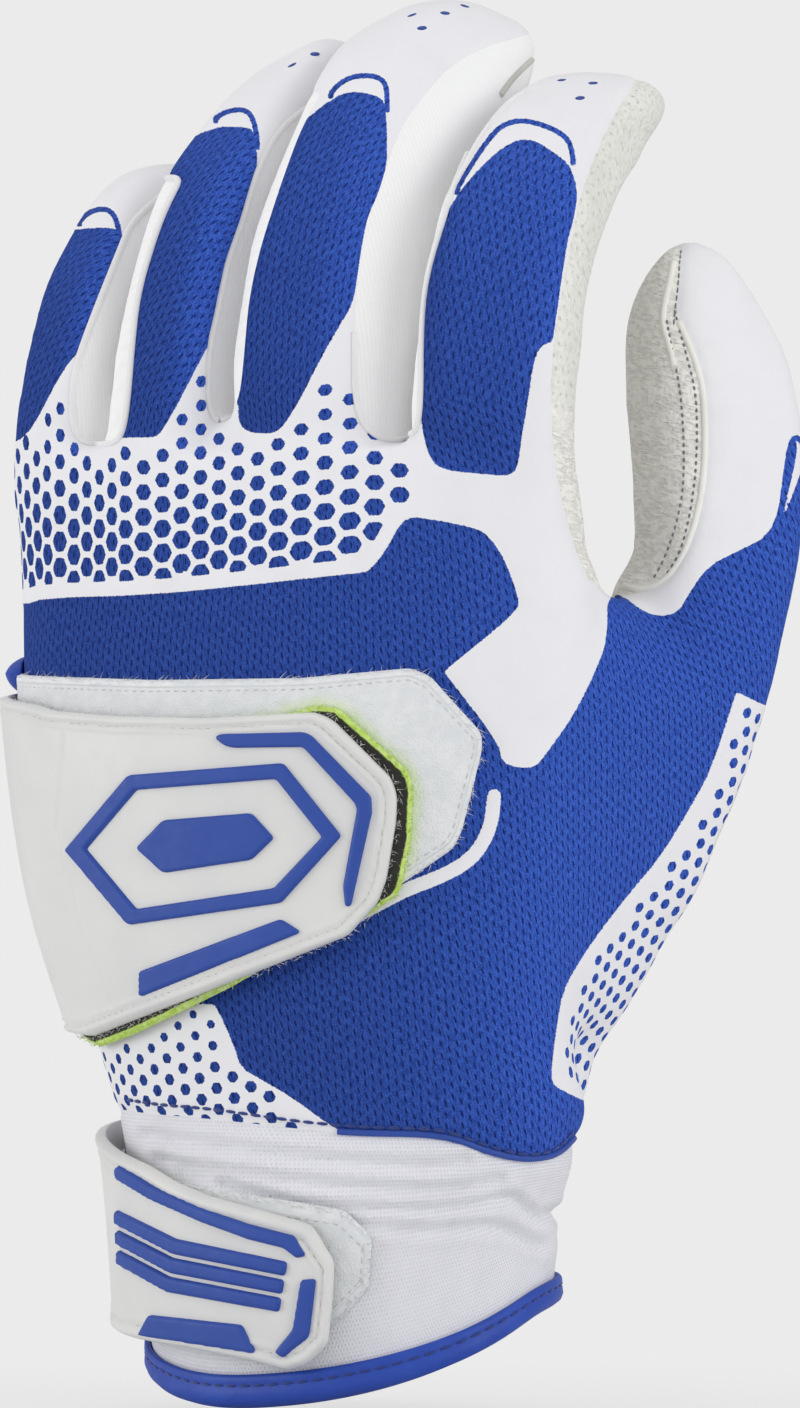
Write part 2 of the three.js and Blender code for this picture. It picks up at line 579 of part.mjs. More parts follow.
function addHandStrap() {
  const floor = addStrap("hand_strap", HAND_STRAP, HAND_LOOP);
  const { hinge, tip, top } = HAND_STRAP;
  const upper = [tip + HAND_UPPER_BAR.fromTip, tip + HAND_UPPER_BAR.toTip];
  const lower = [hinge - HAND_LOWER_BAR.fromHinge, tip + HAND_LOWER_BAR.toTip];
  const mark = addBars("hand_strap", HAND_STRAP, floor, upper, lower);
  const middle = (angle) => (strapTop(HAND_STRAP, angle) + strapBottom(HAND_STRAP, angle)) / 2 + BADGE_RAISE;
  mark("badge", (s, r) => {
    const angle = mix(hinge - HAND_BADGE.fromHinge, tip + HAND_BADGE.toTip, s);
    const share = Math.min(1, BADGE_END_SHARE + BADGE_NARROWING * Math.min(s, 1 - s));
    return [angle, middle(angle) + (2 * r - 1) * BADGE_HALF_HEIGHT * share];
  }, [10, 2]);
  const slot = (s, r) => [mix(LITTLE_SIDE_SEAM - SLOT_BACK_SET, HAND_LOOP.hinge + SEAM_ANGLE, s),
    top + SEAM_GAP + mix(0, SLOT_HEIGHT, r)];
  addPiece("strap_slot_binding", handPlate(slot, SEAM_GAP, SEAM_GAP + SLOT_WALL, 5, 2), FINISHES.blueVinyl);
}

function addWristStrap() {
  const floor = addStrap("wrist_strap", WRIST_STRAP, WRIST_LOOP);
  const { hinge, tip } = WRIST_STRAP;
  const upper = [hinge - WRIST_UPPER_BAR.fromHinge, tip + WRIST_UPPER_BAR.toTip];
  const lower = [hinge - WRIST_LOWER_BAR.fromHinge, tip + WRIST_LOWER_BAR.toTip];
  const mark = addBars("wrist_strap", WRIST_STRAP, floor, upper, lower);
  for (let i = 0; i < GRIP_RIBS; i += 1) {
    mark(`grip_rib_${i + 1}`, (s, r) => {
      const along = (i + RIB_LEAD + RIB_SHARE * s) / GRIP_RIBS;
      const angle = mix(hinge - WRIST_RIBS.fromHinge, tip + WRIST_RIBS.toTip, along);
      const low = strapBottom(WRIST_STRAP, angle) + MARK_MARGIN + LOWER_BAR_WIDTH + RIB_MARGIN;
      const high = strapTop(WRIST_STRAP, angle) - MARK_MARGIN - BAR_WIDTH - RIB_MARGIN;
      return [angle, mix(low, high, r)];
    }, [2, 1]);
  }
}

addHandPanels();
addCuff();
addFingers();
addHandStrap();
addWristStrap();

// The hinge lines, each a point and a direction. A positive turn curls a finger, straightens the thumb
// and lifts a strap.
function fingerHinge(finger, turn) {
  const { centre, sideways } = fingerFrame(finger, finger.joint);
  return { point: centre.toArray(), axis: sideways.multiplyScalar(turn).toArray() };
}

function strapHinge(strap) {
  const out = LOOP_PILE + HOOK_PILE + 3 * SEAM_GAP + TAB_WALL / 2;
  const low = handPoint(strap.hinge, strap.bottom, out);
  const high = handPoint(strap.hinge, strap.top, out);
  return { point: low.clone().lerp(high, 0.5).toArray(), axis: low.sub(high).normalize().toArray() };
}

glove.userData.hinges = {
  little_bend: fingerHinge(FINGERS.little, -1),
  ring_bend: fingerHinge(FINGERS.ring, -1),
  middle_bend: fingerHinge(FINGERS.middle, -1),
  index_bend: fingerHinge(FINGERS.index, -1),
  thumb_bend: fingerHinge(THUMB, 1),
  hand_strap_lift: strapHinge(HAND_STRAP),
  wrist_strap_lift: strapHinge(WRIST_STRAP),
};

export default glove;
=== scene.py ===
# %% [markdown]
# # A batting glove, dressed around its solids
# The glove is sewn from flat cloth and leather, then filled by a hand. This lesson follows the same order:
# one smooth filled form is made first, then it is cut into its panels along the seams, and the trim is sewn
# on. Everything is worked out in millimetres and turned into metres when a mesh is made.

# %% Load the frame
import math

import bpy
import numpy as np
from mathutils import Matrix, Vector
from mathutils.bvhtree import BVHTree
from mathutils.kdtree import KDTree


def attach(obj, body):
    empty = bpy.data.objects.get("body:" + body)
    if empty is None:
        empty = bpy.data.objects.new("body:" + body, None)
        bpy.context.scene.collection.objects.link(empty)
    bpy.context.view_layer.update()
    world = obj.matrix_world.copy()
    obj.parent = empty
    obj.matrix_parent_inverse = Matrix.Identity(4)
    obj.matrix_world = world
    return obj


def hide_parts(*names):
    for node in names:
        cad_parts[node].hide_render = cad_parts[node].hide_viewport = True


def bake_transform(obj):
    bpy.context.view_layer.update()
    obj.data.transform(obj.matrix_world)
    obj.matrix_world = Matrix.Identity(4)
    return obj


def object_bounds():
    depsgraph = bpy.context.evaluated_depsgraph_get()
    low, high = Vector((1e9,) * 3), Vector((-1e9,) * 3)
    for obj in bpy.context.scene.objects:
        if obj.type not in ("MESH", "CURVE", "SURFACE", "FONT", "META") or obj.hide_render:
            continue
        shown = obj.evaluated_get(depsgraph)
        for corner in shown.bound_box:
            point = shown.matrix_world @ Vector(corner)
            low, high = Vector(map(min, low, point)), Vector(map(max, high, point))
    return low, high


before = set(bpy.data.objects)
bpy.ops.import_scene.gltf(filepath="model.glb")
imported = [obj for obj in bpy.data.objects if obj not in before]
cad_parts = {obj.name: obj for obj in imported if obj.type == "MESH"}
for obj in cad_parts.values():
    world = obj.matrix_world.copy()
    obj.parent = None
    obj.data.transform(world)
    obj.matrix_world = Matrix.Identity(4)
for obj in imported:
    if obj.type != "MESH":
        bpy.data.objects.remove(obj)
CAD_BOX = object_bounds()
MM = 0.001

# %% [markdown]
# ## Camera
# A long lens far away gives the flat view of a product picture. Outlines below are written as points in the
# picture's 800 x 1408 frame, so the camera also tells where a point of the glove lies in that frame.

# %% Camera
EYE = np.array([7.8, -1800.0, 92.4])
PIXEL = 0.15
PICTURE_HEIGHT = 1408
MIDDLE_X, MIDDLE_Y = 400, 704
SENSOR = 36
lens_data = bpy.data.cameras.new("camera")
lens_data.sensor_fit = "VERTICAL"
lens_data.sensor_height = SENSOR
lens_data.lens = SENSOR * -EYE[1] / (PICTURE_HEIGHT * PIXEL)
lens_data.clip_end = 20
camera = bpy.data.objects.new("camera", lens_data)
camera.location = EYE * MM
camera.rotation_euler = (math.pi / 2, 0, 0)
bpy.context.collection.objects.link(camera)
bpy.context.scene.camera = camera


def in_picture(points):
    """Where points in millimetres lie in the picture's frame."""
    pull = -EYE[1] / (points[:, 1] - EYE[1]) / PIXEL
    across, up = points[:, 0] - EYE[0], points[:, 2] - EYE[2]
    return np.column_stack([MIDDLE_X + across * pull, MIDDLE_Y - up * pull])


def sight(place):
    """The ray from the camera through a place in the picture."""
    across, down = (place[0] - MIDDLE_X) * PIXEL, (place[1] - MIDDLE_Y) * PIXEL
    aim = np.array([EYE[0] + across, 0, EYE[2] - down])
    return Vector(EYE), Vector(aim - EYE).normalized()


print("lens", round(lens_data.lens, 1), "mm")

# %% [markdown]
# ## Outlines
# A print or a panel has an outline. Its signed distance, positive inside, is a smooth field that can cut a
# mesh, raise an edge or switch a colour, all from the same few points.

# %% Distance fields


def rounded(points, times=2, closed=True):
    """Cuts the corners of an outline, which turns a few points into a soft curve."""
    line = np.array(points, float)
    for _ in range(times):
        a = line if closed else line[:-1]
        b = np.roll(line, -1, axis=0) if closed else line[1:]
        corners = np.stack([0.75 * a + 0.25 * b, 0.25 * a + 0.75 * b], 1).reshape(-1, 2)
        line = corners if closed else np.vstack([line[:1], corners, line[-1:]])
    return line


def soft_line(points, times=2):
    """The same for an open line, which keeps its ends."""
    return rounded(points, times, closed=False)


def line_distance(places, line, closed=False):
    """Distance from places to a line of points."""
    best = np.full(len(places), 1e9)
    ends = np.roll(line, -1, axis=0) if closed else line[1:]
    for a, b in zip(line, ends):
        run = b - a
        t = np.clip(((places - a) @ run) / max(run @ run, 1e-9), 0, 1)
        best = np.minimum(best, np.hypot(*(places - a - t[:, None] * run).T))
    return best


def outline_field(places, outline):
    """Signed distance to a closed outline, positive inside."""
    inside = np.zeros(len(places), bool)
    for a, b in zip(outline, np.roll(outline, -1, axis=0)):
        crosses = (a[1] > places[:, 1]) != (b[1] > places[:, 1])
        rise = b[1] - a[1] if abs(b[1] - a[1]) > 1e-9 else 1e-9
        inside ^= crosses & (places[:, 0] < a[0] + (places[:, 1] - a[1]) / rise * (b[0] - a[0]))
    return np.where(inside, 1, -1) * line_distance(places, outline, closed=True)


def smoothstep(value, low, high):
    t = np.clip((value - low) / (high - low), 0, 1)
    return t * t * (3 - 2 * t)


def band(value, first, full, last, end):
    """1 from full to last, fading to 0 at first and end."""
    return smoothstep(value, first, full) * (1 - smoothstep(value, last, end))


# %% [markdown]
# ## The filled form
# The hand is a loft of rounded sections, and each finger is a tube along a curve. They follow the same
# formulas as the solids. Joined, remeshed into one skin and smoothed, they make the soft filled glove
# without any hard join.

# %% Formulas of the hand
# Each section: height, centre x, centre y, half breadth, half depth, turn in degrees,
# arch of the back and squareness
HAND_SECTIONS = np.array([
    [0, 0, 0, 33, 22.5, 32, 0, 2.2], [15, -1, -1, 33, 22, 31, 0.5, 2.2], [31, 0.3, -2, 37.5, 22, 30, 1, 2.2],
    [63, -4.5, -1, 43, 21, 28, 2, 2.3], [93, -6, -1, 46, 19, 27, 3, 2.4],
    [114, -6, 1, 47.2, 16.5, 28, 4, 2.6],
    [131, -9, 2, 46.5, 10.5, 30, 4, 3.2]])
HAND_TOP = HAND_SECTIONS[-1, 0]
CUFF_TOP = HAND_SECTIONS[2, 0]
HEM_RISE, HEM_DROP = 2.8, 11.5
# Rounds of a search that closes in on its answer
ROUNDS = 12


def power(value, exponent):
    return np.sign(value) * np.abs(value) ** exponent


def hem_slant(height, across, deep):
    """How far the slanting hem moves a point up. The hem dips at the back and is nearly level at the palm."""
    dip = 0.5 * (1.2 * deep + 0.8 * np.sqrt(deep * deep + 0.05))
    return (1 - smoothstep(height, 0, CUFF_TOP)) * (HEM_RISE * across - HEM_DROP * dip)


def hand_section(height):
    """All values of the hand's sections at some heights, on a smooth curve through them."""
    rows, h = HAND_SECTIONS, HAND_SECTIONS[:, 0]
    slope = np.zeros_like(rows)
    for j in range(len(rows)):
        a, b = max(0, j - 1), min(len(rows) - 1, j + 1)
        slope[j] = (rows[b] - rows[a]) / (h[b] - h[a])
    i = np.clip(np.searchsorted(h, height, side="left") - 1, 0, len(h) - 2)
    span = (h[i + 1] - h[i])[:, None]
    t = ((height - h[i])[:, None]) / span
    rise = 2 * t ** 3 - 3 * t ** 2
    return ((1 + rise) * rows[i] - rise * rows[i + 1]
            + span * ((t ** 3 - 2 * t ** 2 + t) * slope[i] + (t ** 3 - t ** 2) * slope[i + 1]))


def hand_point(angle, height, out=0.0):
    """Points on the hand: degrees round it (0 thumb, 90 back, 180 little finger), height, distance out."""
    angle, height, out = np.broadcast_arrays(np.asarray(angle, float), np.asarray(height, float), out)
    shape = angle.shape
    angle, height, out = angle.ravel(), height.ravel(), out.ravel()
    _, x, y, breadth, depth, yaw, arch, square = hand_section(height).T
    across = power(np.cos(np.radians(angle)), 2 / square)
    deep = power(np.sin(np.radians(angle)), 2 / square)
    sideways = (breadth + out) * across
    dorsal = (depth + out) * deep + arch * (1 - across ** 2)
    yaw = np.radians(yaw)
    return np.stack([x + sideways * np.cos(yaw) - dorsal * np.sin(yaw),
                     y - sideways * np.sin(yaw) - dorsal * np.cos(yaw),
                     height + hem_slant(height, across, deep)], -1).reshape(shape + (3,))


def hand_place(points, out=0.0):
    """The angle and height of points that lie a distance out from the hand."""
    height = np.clip(points[:, 2], 0, HAND_TOP)
    for _ in range(ROUNDS):
        _, x, y, breadth, depth, yaw, arch, square = hand_section(height).T
        yaw = np.radians(yaw)
        dx, dy = points[:, 0] - x, points[:, 1] - y
        across = np.clip((dx * np.cos(yaw) - dy * np.sin(yaw)) / (breadth + out), -1.2, 1.2)
        deep = (-dx * np.sin(yaw) - dy * np.cos(yaw) - arch * (1 - across ** 2)) / (depth + out)
        goal = points[:, 2] - hem_slant(height, across, deep)
        height = np.clip(0.5 * height + 0.5 * goal, 0, HAND_TOP)
    angle = np.degrees(np.arctan2(power(deep, square / 2), power(across, square / 2)))
    return np.where(angle < -90, angle + 360, angle), height, np.hypot(across, deep)


print("hand is", HAND_TOP, "mm from the hem to the knuckles")

# %% Formulas of the fingers
FINGERS = {
    "little": dict(place=-37, yaw=54, width=(8.2, 7.4), depth=(8, 7),
                   curve=[(0, -1, 16), (5, 10, 39), (19, 34, 39)]),
    "ring": dict(place=-18, yaw=45, width=(9.3, 8.6), depth=(8.8, 7.8),
                 curve=[(1, -1, 26), (11, 15, 58), (27, 44, 56)]),
    "middle": dict(place=6, yaw=34, width=(10.2, 9.4), depth=(9.2, 8.2),
                   curve=[(0.5, -1, 26), (7, 16, 65), (28, 48, 60)]),
    "index": dict(place=36.5, yaw=17, width=(10.4, 9.6), depth=(9, 8.2),
                  curve=[(0, -2, 22), (6, 10, 55), (22, 42, 50)]),
    "thumb": dict(root=(12, 2, 30), yaw=-30, width=(14, 11.4), depth=(12.5, 10), joint=0.71,
                  curve=[(40, -4, 38), (53, 4, 100), (37, 10, 130)]),
}
FINGER_SQUARE = 3.2
FINGER_JOINT = 0.42
DOME_START = 0.8


def knuckle_root(place):
    """Where a finger starts, on the arched line across the hand's top section."""
    _, x, y, breadth, _, yaw, arch, _ = HAND_SECTIONS[-1]
    yaw = math.radians(yaw)
    rise = arch * (1 - (place / breadth) ** 2)
    return (x + place * math.cos(yaw) - rise * math.sin(yaw),
            y - place * math.sin(yaw) - rise * math.cos(yaw), HAND_TOP)


for finger in FINGERS.values():
    if "place" in finger:
        finger["root"] = knuckle_root(finger["place"])
    finger.setdefault("joint", FINGER_JOINT)
    finger["points"] = np.vstack([finger["root"],
                                  np.array(finger["root"]) + np.array(finger["curve"], float)])


def finger_frame(finger, t):
    """Centre, tangent, sideways and dorsal directions of a finger's sections."""
    a, b, c, d = finger["points"]
    t = np.asarray(t, float)[:, None]
    inside = np.clip(t, 0, 1)
    centre = ((1 - inside) ** 3 * a + 3 * (1 - inside) ** 2 * inside * b
              + 3 * (1 - inside) * inside ** 2 * c + inside ** 3 * d)
    rate = 3 * (1 - inside) ** 2 * (b - a) + 6 * (1 - inside) * inside * (c - b) + 3 * inside ** 2 * (d - c)
    centre = centre + rate * (t - inside)
    tangent = rate / np.linalg.norm(rate, axis=1, keepdims=True)
    yaw = math.radians(finger["yaw"])
    sideways = np.array([math.cos(yaw), -math.sin(yaw), 0]) + np.zeros_like(tangent)
    sideways = sideways - tangent * np.sum(sideways * tangent, 1, keepdims=True)
    sideways /= np.linalg.norm(sideways, axis=1, keepdims=True)
    return centre, tangent, sideways, np.cross(sideways, tangent)


def half_sizes(finger, t):
    """Half breadth and half depth of a finger's sections."""
    t = np.clip(t, 0, 1)
    return [finger[key][0] * (1 - t) + finger[key][1] * t for key in ("width", "depth")]


def finger_point(finger, angle, way, out=0.0):
    """Points on a finger: degrees round it (0 thumb, 90 back), way from root to tip, distance out."""
    angle, way = np.broadcast_arrays(np.asarray(angle, float), np.asarray(way, float))
    shape = angle.shape
    angle, way = np.radians(angle.ravel()), way.ravel()
    dome = np.clip((way - DOME_START) / (1 - DOME_START), 0, 1) * math.pi / 2
    t = np.where(way < DOME_START, way, DOME_START + (1 - DOME_START) * np.sin(dome))
    centre, tangent, sideways, dorsal = finger_frame(finger, t)
    width, depth = half_sizes(finger, t)
    across = (width + out) * np.cos(dome) * power(np.cos(angle), 2 / FINGER_SQUARE)
    deep = (depth + out) * np.cos(dome) * power(np.sin(angle), 2 / FINGER_SQUARE)
    place = (centre + sideways * across[:, None] + dorsal * deep[:, None]
             + tangent * (out * np.sin(dome))[:, None])
    return place.reshape(shape + (3,))


for name, finger in FINGERS.items():
    centre = finger_frame(finger, np.linspace(0, 1, 201))[0]
    finger["length"] = float(np.linalg.norm(np.diff(centre, axis=0), axis=1).sum())
    print(name, "is", round(finger["length"]), "mm along its middle")

# %% Mesh helpers


def mesh_object(name, points, faces, uv=None):
    """A new object from points in millimetres and faces of equal length, shaded smooth."""
    faces = np.asarray(faces, int)
    mesh = bpy.data.meshes.new(name)
    mesh.vertices.add(len(points))
    mesh.vertices.foreach_set("co", (np.asarray(points) * MM).astype(np.float32).ravel())
    mesh.loops.add(faces.size)
    mesh.loops.foreach_set("vertex_index", faces.ravel().astype(np.int32))
    mesh.polygons.add(len(faces))
    mesh.polygons.foreach_set("loop_start", np.arange(0, faces.size, faces.shape[1], dtype=np.int32))
    mesh.polygons.foreach_set("use_smooth", np.ones(len(faces), bool))
    if uv is not None:
        layer = mesh.uv_layers.new(name="cloth")
        layer.data.foreach_set("uv", np.asarray(uv)[faces.ravel()].astype(np.float32).ravel())
    mesh.update(calc_edges=True)
    mesh.validate()
    piece = bpy.data.objects.new(name, mesh)
    bpy.context.collection.objects.link(piece)
    return piece


def read(items, key, width, kind=np.float32):
    """One value of many items of a mesh, a row for each."""
    data = np.empty(len(items) * width, kind)
    items.foreach_get(key, data)
    return data.reshape(-1, width)


def evaluated(piece):
    """A new mesh of a piece with its modifiers applied."""
    return bpy.data.meshes.new_from_object(piece.evaluated_get(bpy.context.evaluated_depsgraph_get()))


def loft_faces(rows, columns):
    """Triangles of a tube of points, closed round and capped by a fan at each end."""
    i, j = np.meshgrid(np.arange(columns), np.arange(rows - 1))
    a, b = (j * columns + i).ravel(), (j * columns + (i + 1) % columns).ravel()
    c, d = b + columns, a + columns
    ring = np.arange(columns)
    turn = (ring + 1) % columns
    low, high = rows * columns, rows * columns + 1
    top = (rows - 1) * columns
    return np.vstack([np.column_stack([a, b, c]), np.column_stack([a, c, d]),
                      np.column_stack([turn, ring, np.full(columns, low)]),
                      np.column_stack([top + ring, top + turn, np.full(columns, high)])])


def closed_loft(grid):
    """Points and triangles of a tube through the rows of a grid."""
    rows, columns, _ = grid.shape
    points = np.vstack([grid.reshape(-1, 3), grid[0].mean(0), grid[-1].mean(0)])
    return points, loft_faces(rows, columns)


def point_normals(points, triangles):
    """Outward directions at the points, from the triangles round them."""
    a, b, c = points[triangles[:, 0]], points[triangles[:, 1]], points[triangles[:, 2]]
    face = np.cross(b - a, c - a)
    total = np.zeros_like(points)
    for k in range(3):
        for axis in range(3):
            total[:, axis] += np.bincount(triangles[:, k], face[:, axis], len(points))
    return total / np.maximum(np.linalg.norm(total, axis=1, keepdims=True), 1e-12)


def relax(values, edges, rounds, share=0.5, mask=None):
    """Moves each point's values towards the mean of its neighbours."""
    values = np.array(values, float)
    flat = values.reshape(len(values), -1)
    count = np.bincount(edges.ravel(), minlength=len(values))[:, None]
    for _ in range(rounds):
        total = np.zeros_like(flat)
        for axis in range(flat.shape[1]):
            total[:, axis] = (np.bincount(edges[:, 0], flat[edges[:, 1], axis], len(flat))
                              + np.bincount(edges[:, 1], flat[edges[:, 0], axis], len(flat)))
        step = share * (total / np.maximum(count, 1) - flat)
        flat += step if mask is None else step * mask[:, None]
    return flat.reshape(values.shape)


# %% Lofts of the form
angles = np.arange(0, 360, 3.0)
heights = np.concatenate([np.linspace(0, 126, 64), [128, 129.5, 130.6]])
lofts = [closed_loft(hand_point(angles[None, :], heights[:, None]))]
dome_ways = DOME_START + (1 - DOME_START) * np.linspace(0.04, 0.985, 16)
ways = np.concatenate([np.linspace(-0.2, DOME_START, 50), dome_ways])
MIDDLE_REACH, WEB_WALL = 8.5, 10.0


def widening(angle, way):
    """How far the middle finger's side bulges towards the index finger."""
    beside = smoothstep(np.cos(np.radians(angle + 45)), -0.3, 0.9)
    return MIDDLE_REACH * beside * (1 - smoothstep(way, 0.72, 1.0))


for name, finger in FINGERS.items():
    along = ways if name != "thumb" else ways[ways > 0]
    skin_grid = finger_point(finger, angles[None, :], along[:, None])
    if name == "middle":
        skin_grid[..., 0] += widening(angles[None, :], along[:, None])
    lofts.append(closed_loft(skin_grid))
thumb_skin = skin_grid.reshape(-1, 3)


def web_section(height, sink):
    """The cloth stretched from the hand's edge to the front of the thumb at one height, as a thick line."""
    edge = hand_point(np.arange(-60, 91, 2.0), height)[:, :2]
    thumb = thumb_skin[np.abs(thumb_skin[:, 2] - height) < 1.2][:, :2]
    a, b = edge[edge[:, 1].argmin()], thumb[thumb[:, 1].argmin()]
    for _ in range(ROUNDS):
        run = b - a
        front = np.array([run[1], -run[0]]) / np.linalg.norm(run)
        a, b = edge[(edge @ front).argmax()], thumb[(thumb @ front).argmax()]
    back = sink + WEB_WALL
    corners = [a - front * sink, b - front * sink, b - front * back, a - front * back]
    return [(*corner, height) for corner in corners]


# A small pad of cloth fills the crotch between the ring and middle fingers
PAD_HALF, PAD_HEIGHT = (4.5, 8.5, 6.6), 129.0
rise = np.radians(np.arange(-84, 85, 12))[:, None]
crotch = (finger_point(FINGERS["ring"], 0.0, 0.02) + finger_point(FINGERS["middle"], 180.0, 0.02)).ravel() / 2
pad = np.stack([crotch[0] + PAD_HALF[0] * np.cos(rise) * np.cos(np.radians(angles)),
                crotch[1] + PAD_HALF[1] * np.cos(rise) * np.sin(np.radians(angles)),
                PAD_HEIGHT + PAD_HALF[2] * np.sin(rise) + 0 * angles], axis=2)
lofts.append(closed_loft(pad))
web_heights = np.arange(44.0, 104.1, 2.0)
web_sinks = 5.0 * smoothstep(web_heights, 94, 106) + 0.4
lofts.append(closed_loft(np.array([web_section(h, s) for h, s in zip(web_heights, web_sinks)])))
print(len(lofts), "lofts")

# %% Join the lofts into one skin
VOXEL = 0.8
# Heights between which the finger roots and the thumb's web are smoothed, and where the web lies
ROOT_BAND, WEB_BAND, WEB_SIDE, WEB_DEPTH = (112, 124, 138, 146), (36, 44, 112, 120), (14, 24), 6
points, faces, start = [], [], 0
for loft_points, loft_triangles in lofts:
    points.append(loft_points)
    faces.append(loft_triangles + start)
    start += len(loft_points)
lump = mesh_object("lump", np.vstack(points), np.vstack(faces))
skin = lump.modifiers.new("one_skin", "REMESH")
skin.mode = "VOXEL"
skin.voxel_size = VOXEL * MM
mesh = evaluated(lump)
mesh.calc_loop_triangles()
FORM = read(mesh.vertices, "co", 3).astype(float) / MM
TRIANGLES = read(mesh.loop_triangles, "vertices", 3, np.int32)
EDGES = read(mesh.edges, "vertices", 2, np.int32)
bpy.data.objects.remove(lump)
bpy.data.meshes.remove(mesh)
# A light smoothing that keeps the volume, then a strong one at the finger roots and the thumb's web
for _ in range(6):
    FORM = relax(FORM, EDGES, 1, 0.5)
    FORM = relax(FORM, EDGES, 1, -0.52)
roots = band(FORM[:, 2], *ROOT_BAND)
FORM = relax(FORM, EDGES, 24, 0.5, roots)
web = smoothstep(FORM[:, 0], *WEB_SIDE) * band(FORM[:, 2], *WEB_BAND)
FORM = relax(FORM, EDGES, 60, 0.5, web * (FORM[:, 1] < WEB_DEPTH))
FORM = relax(FORM, EDGES, 3, 0.5)
print("form:", len(FORM), "points,", len(TRIANGLES), "triangles")

# %% [markdown]
# The formulas come close to the picture's outline. A few pairs of places, first on the form and then in the
# picture, say how far it is still off. A smooth shift, which fades away from them, carries the whole form
# over.

# %% Fit the form's outline
FIT_PAIRS = np.array([(786, 640, 781, 640), (761, 740, 753, 740), (726, 840, 716, 840),
                      (680, 940, 664, 940), (651, 990, 635, 990), (620, 1040, 602, 1040),
                      (605, 1065, 590, 1065), (590, 1088, 585, 1090), (582, 1115, 583, 1115),
                      (576, 1140, 575, 1140), (565, 1165, 570, 1165), (553, 1190, 562, 1190),
                      (547, 1215, 555, 1215), (549, 1240, 557, 1240), (551, 1290, 550, 1291),
                      (137, 1340, 148, 1340), (140, 1380, 152, 1376), (200, 113, 209, 119),
                      (220, 89, 229, 97), (240, 70, 248, 80), (260, 57, 265, 68), (280, 49, 282, 58),
                      (320, 45, 320, 41), (60, 243, 65, 248), (80, 211, 83, 216), (41, 293, 46, 295),
                      (28, 330, 34, 331), (22, 360, 27, 361), (19, 400, 21, 401), (380, 22, 381, 21),
                      (420, 9, 420, 3), (460, 8, 462, 1), (500, 26, 503, 20), (527, 60, 535, 58),
                      (530, 78, 530, 84), (560, 67, 560, 75), (580, 65, 580, 73), (620, 66, 620, 75),
                      (640, 72, 641, 80), (660, 110, 664, 110), (652, 150, 647, 142), (631, 170, 633, 168),
                      (614, 190, 620, 190), (603, 210, 611, 210), (596, 230, 604, 230),
                      (585, 270, 592, 270), (577, 310, 584, 310), (572, 350, 581, 350),
                      (568, 390, 576, 390), (567, 430, 575, 430), (574, 470, 577, 470),
                      (587, 510, 583, 510), (595, 550, 588, 550), (642, 290, 637, 290),
                      (631, 330, 626, 330), (628, 370, 625, 370), (630, 410, 626, 410),
                      (631, 450, 629, 450), (629, 500, 632, 500), (621, 556, 630, 552),
                      (605, 622, 607, 594), (680, 253, 680, 244), (700, 251, 701, 245),
                      (722, 258, 722, 257), (737, 268, 733, 269), (760, 290, 749, 291),
                      (773, 310, 761, 311), (786, 340, 777, 341), (795, 370, 789, 370),
                      (600, 690, 600, 690), (540, 620, 540, 620), (665, 600, 665, 600),
                      (456, 200, 444, 200), (438, 280, 426, 280), (429, 360, 418, 360),
                      (424, 420, 413, 420), (372, 200, 372, 200), (359, 300, 359, 300),
                      (375, 440, 375, 440), (262, 245, 256, 245), (246, 300, 240, 300),
                      (243, 350, 236, 350), (240, 390, 234, 392), (175, 330, 175, 330),
                      (300, 330, 300, 330)], float)
FIT_REACH = 150.0


def nearness(places):
    """How strongly each pair of the fit acts at some places."""
    gap = np.minimum(np.linalg.norm(places[:, None] - FIT_PAIRS[None, :, :2], axis=2) / FIT_REACH, 1)
    return (1 - gap) ** 4 * (4 * gap + 1)


FIT_WEIGHTS = np.linalg.solve(nearness(FIT_PAIRS[:, :2]), FIT_PAIRS[:, 2:] - FIT_PAIRS[:, :2])


def fitted(points):
    """Points shifted across the picture, at their own depth."""
    shift = nearness(in_picture(points)) @ FIT_WEIGHTS * PIXEL
    return points + np.column_stack([shift[:, 0], np.zeros(len(points)), -shift[:, 1]])


before_fit = FORM
FORM = fitted(FORM)
print("fit moves the form by up to", round(float(np.abs(FORM - before_fit).max()), 1), "mm")

# %% [markdown]
# ## Seams
# Every point of the form is told which finger it belongs to, how far along and how far round it lies. From
# that, and from the seams' outlines in the picture, come three fields: cuff, leather and side knit. Where a
# field is above zero the panel lies, and its zero line is the seam.

# %% Where each point lies
NORMALS = point_normals(FORM, TRIANGLES)
PLACES = in_picture(FORM)
FINGER_NAMES = list(FINGERS)
BLOCK = 20000


def along_finger(points, finger):
    """Length along a finger from its root, degrees round it, and how far out in shares of its section."""
    t = np.linspace(-0.25, 1.0, 126)
    centre = finger_frame(finger, t)[0]
    nearest = np.empty(len(points), int)
    for first in range(0, len(points), BLOCK):
        block = points[first:first + BLOCK]
        gaps = ((block[:, None, :] - centre[None]) ** 2).sum(2)
        nearest[first:first + BLOCK] = np.argmin(gaps, axis=1)
    way = t[nearest]
    centre, tangent, sideways, dorsal = finger_frame(finger, way)
    offset = points - centre
    way = np.clip(way + np.sum(offset * tangent, 1) / finger["length"], -0.3, 1.1)
    width, depth = half_sizes(finger, way)
    across = np.sum(offset * sideways, 1) / width
    deep = np.sum(offset * dorsal, 1) / depth
    angle = np.degrees(np.arctan2(power(deep, FINGER_SQUARE / 2), power(across, FINGER_SQUARE / 2)))
    share = (np.abs(across) ** FINGER_SQUARE + np.abs(deep) ** FINGER_SQUARE) ** (1 / FINGER_SQUARE)
    return way, angle, share


THUMB, HAND = 4, 5
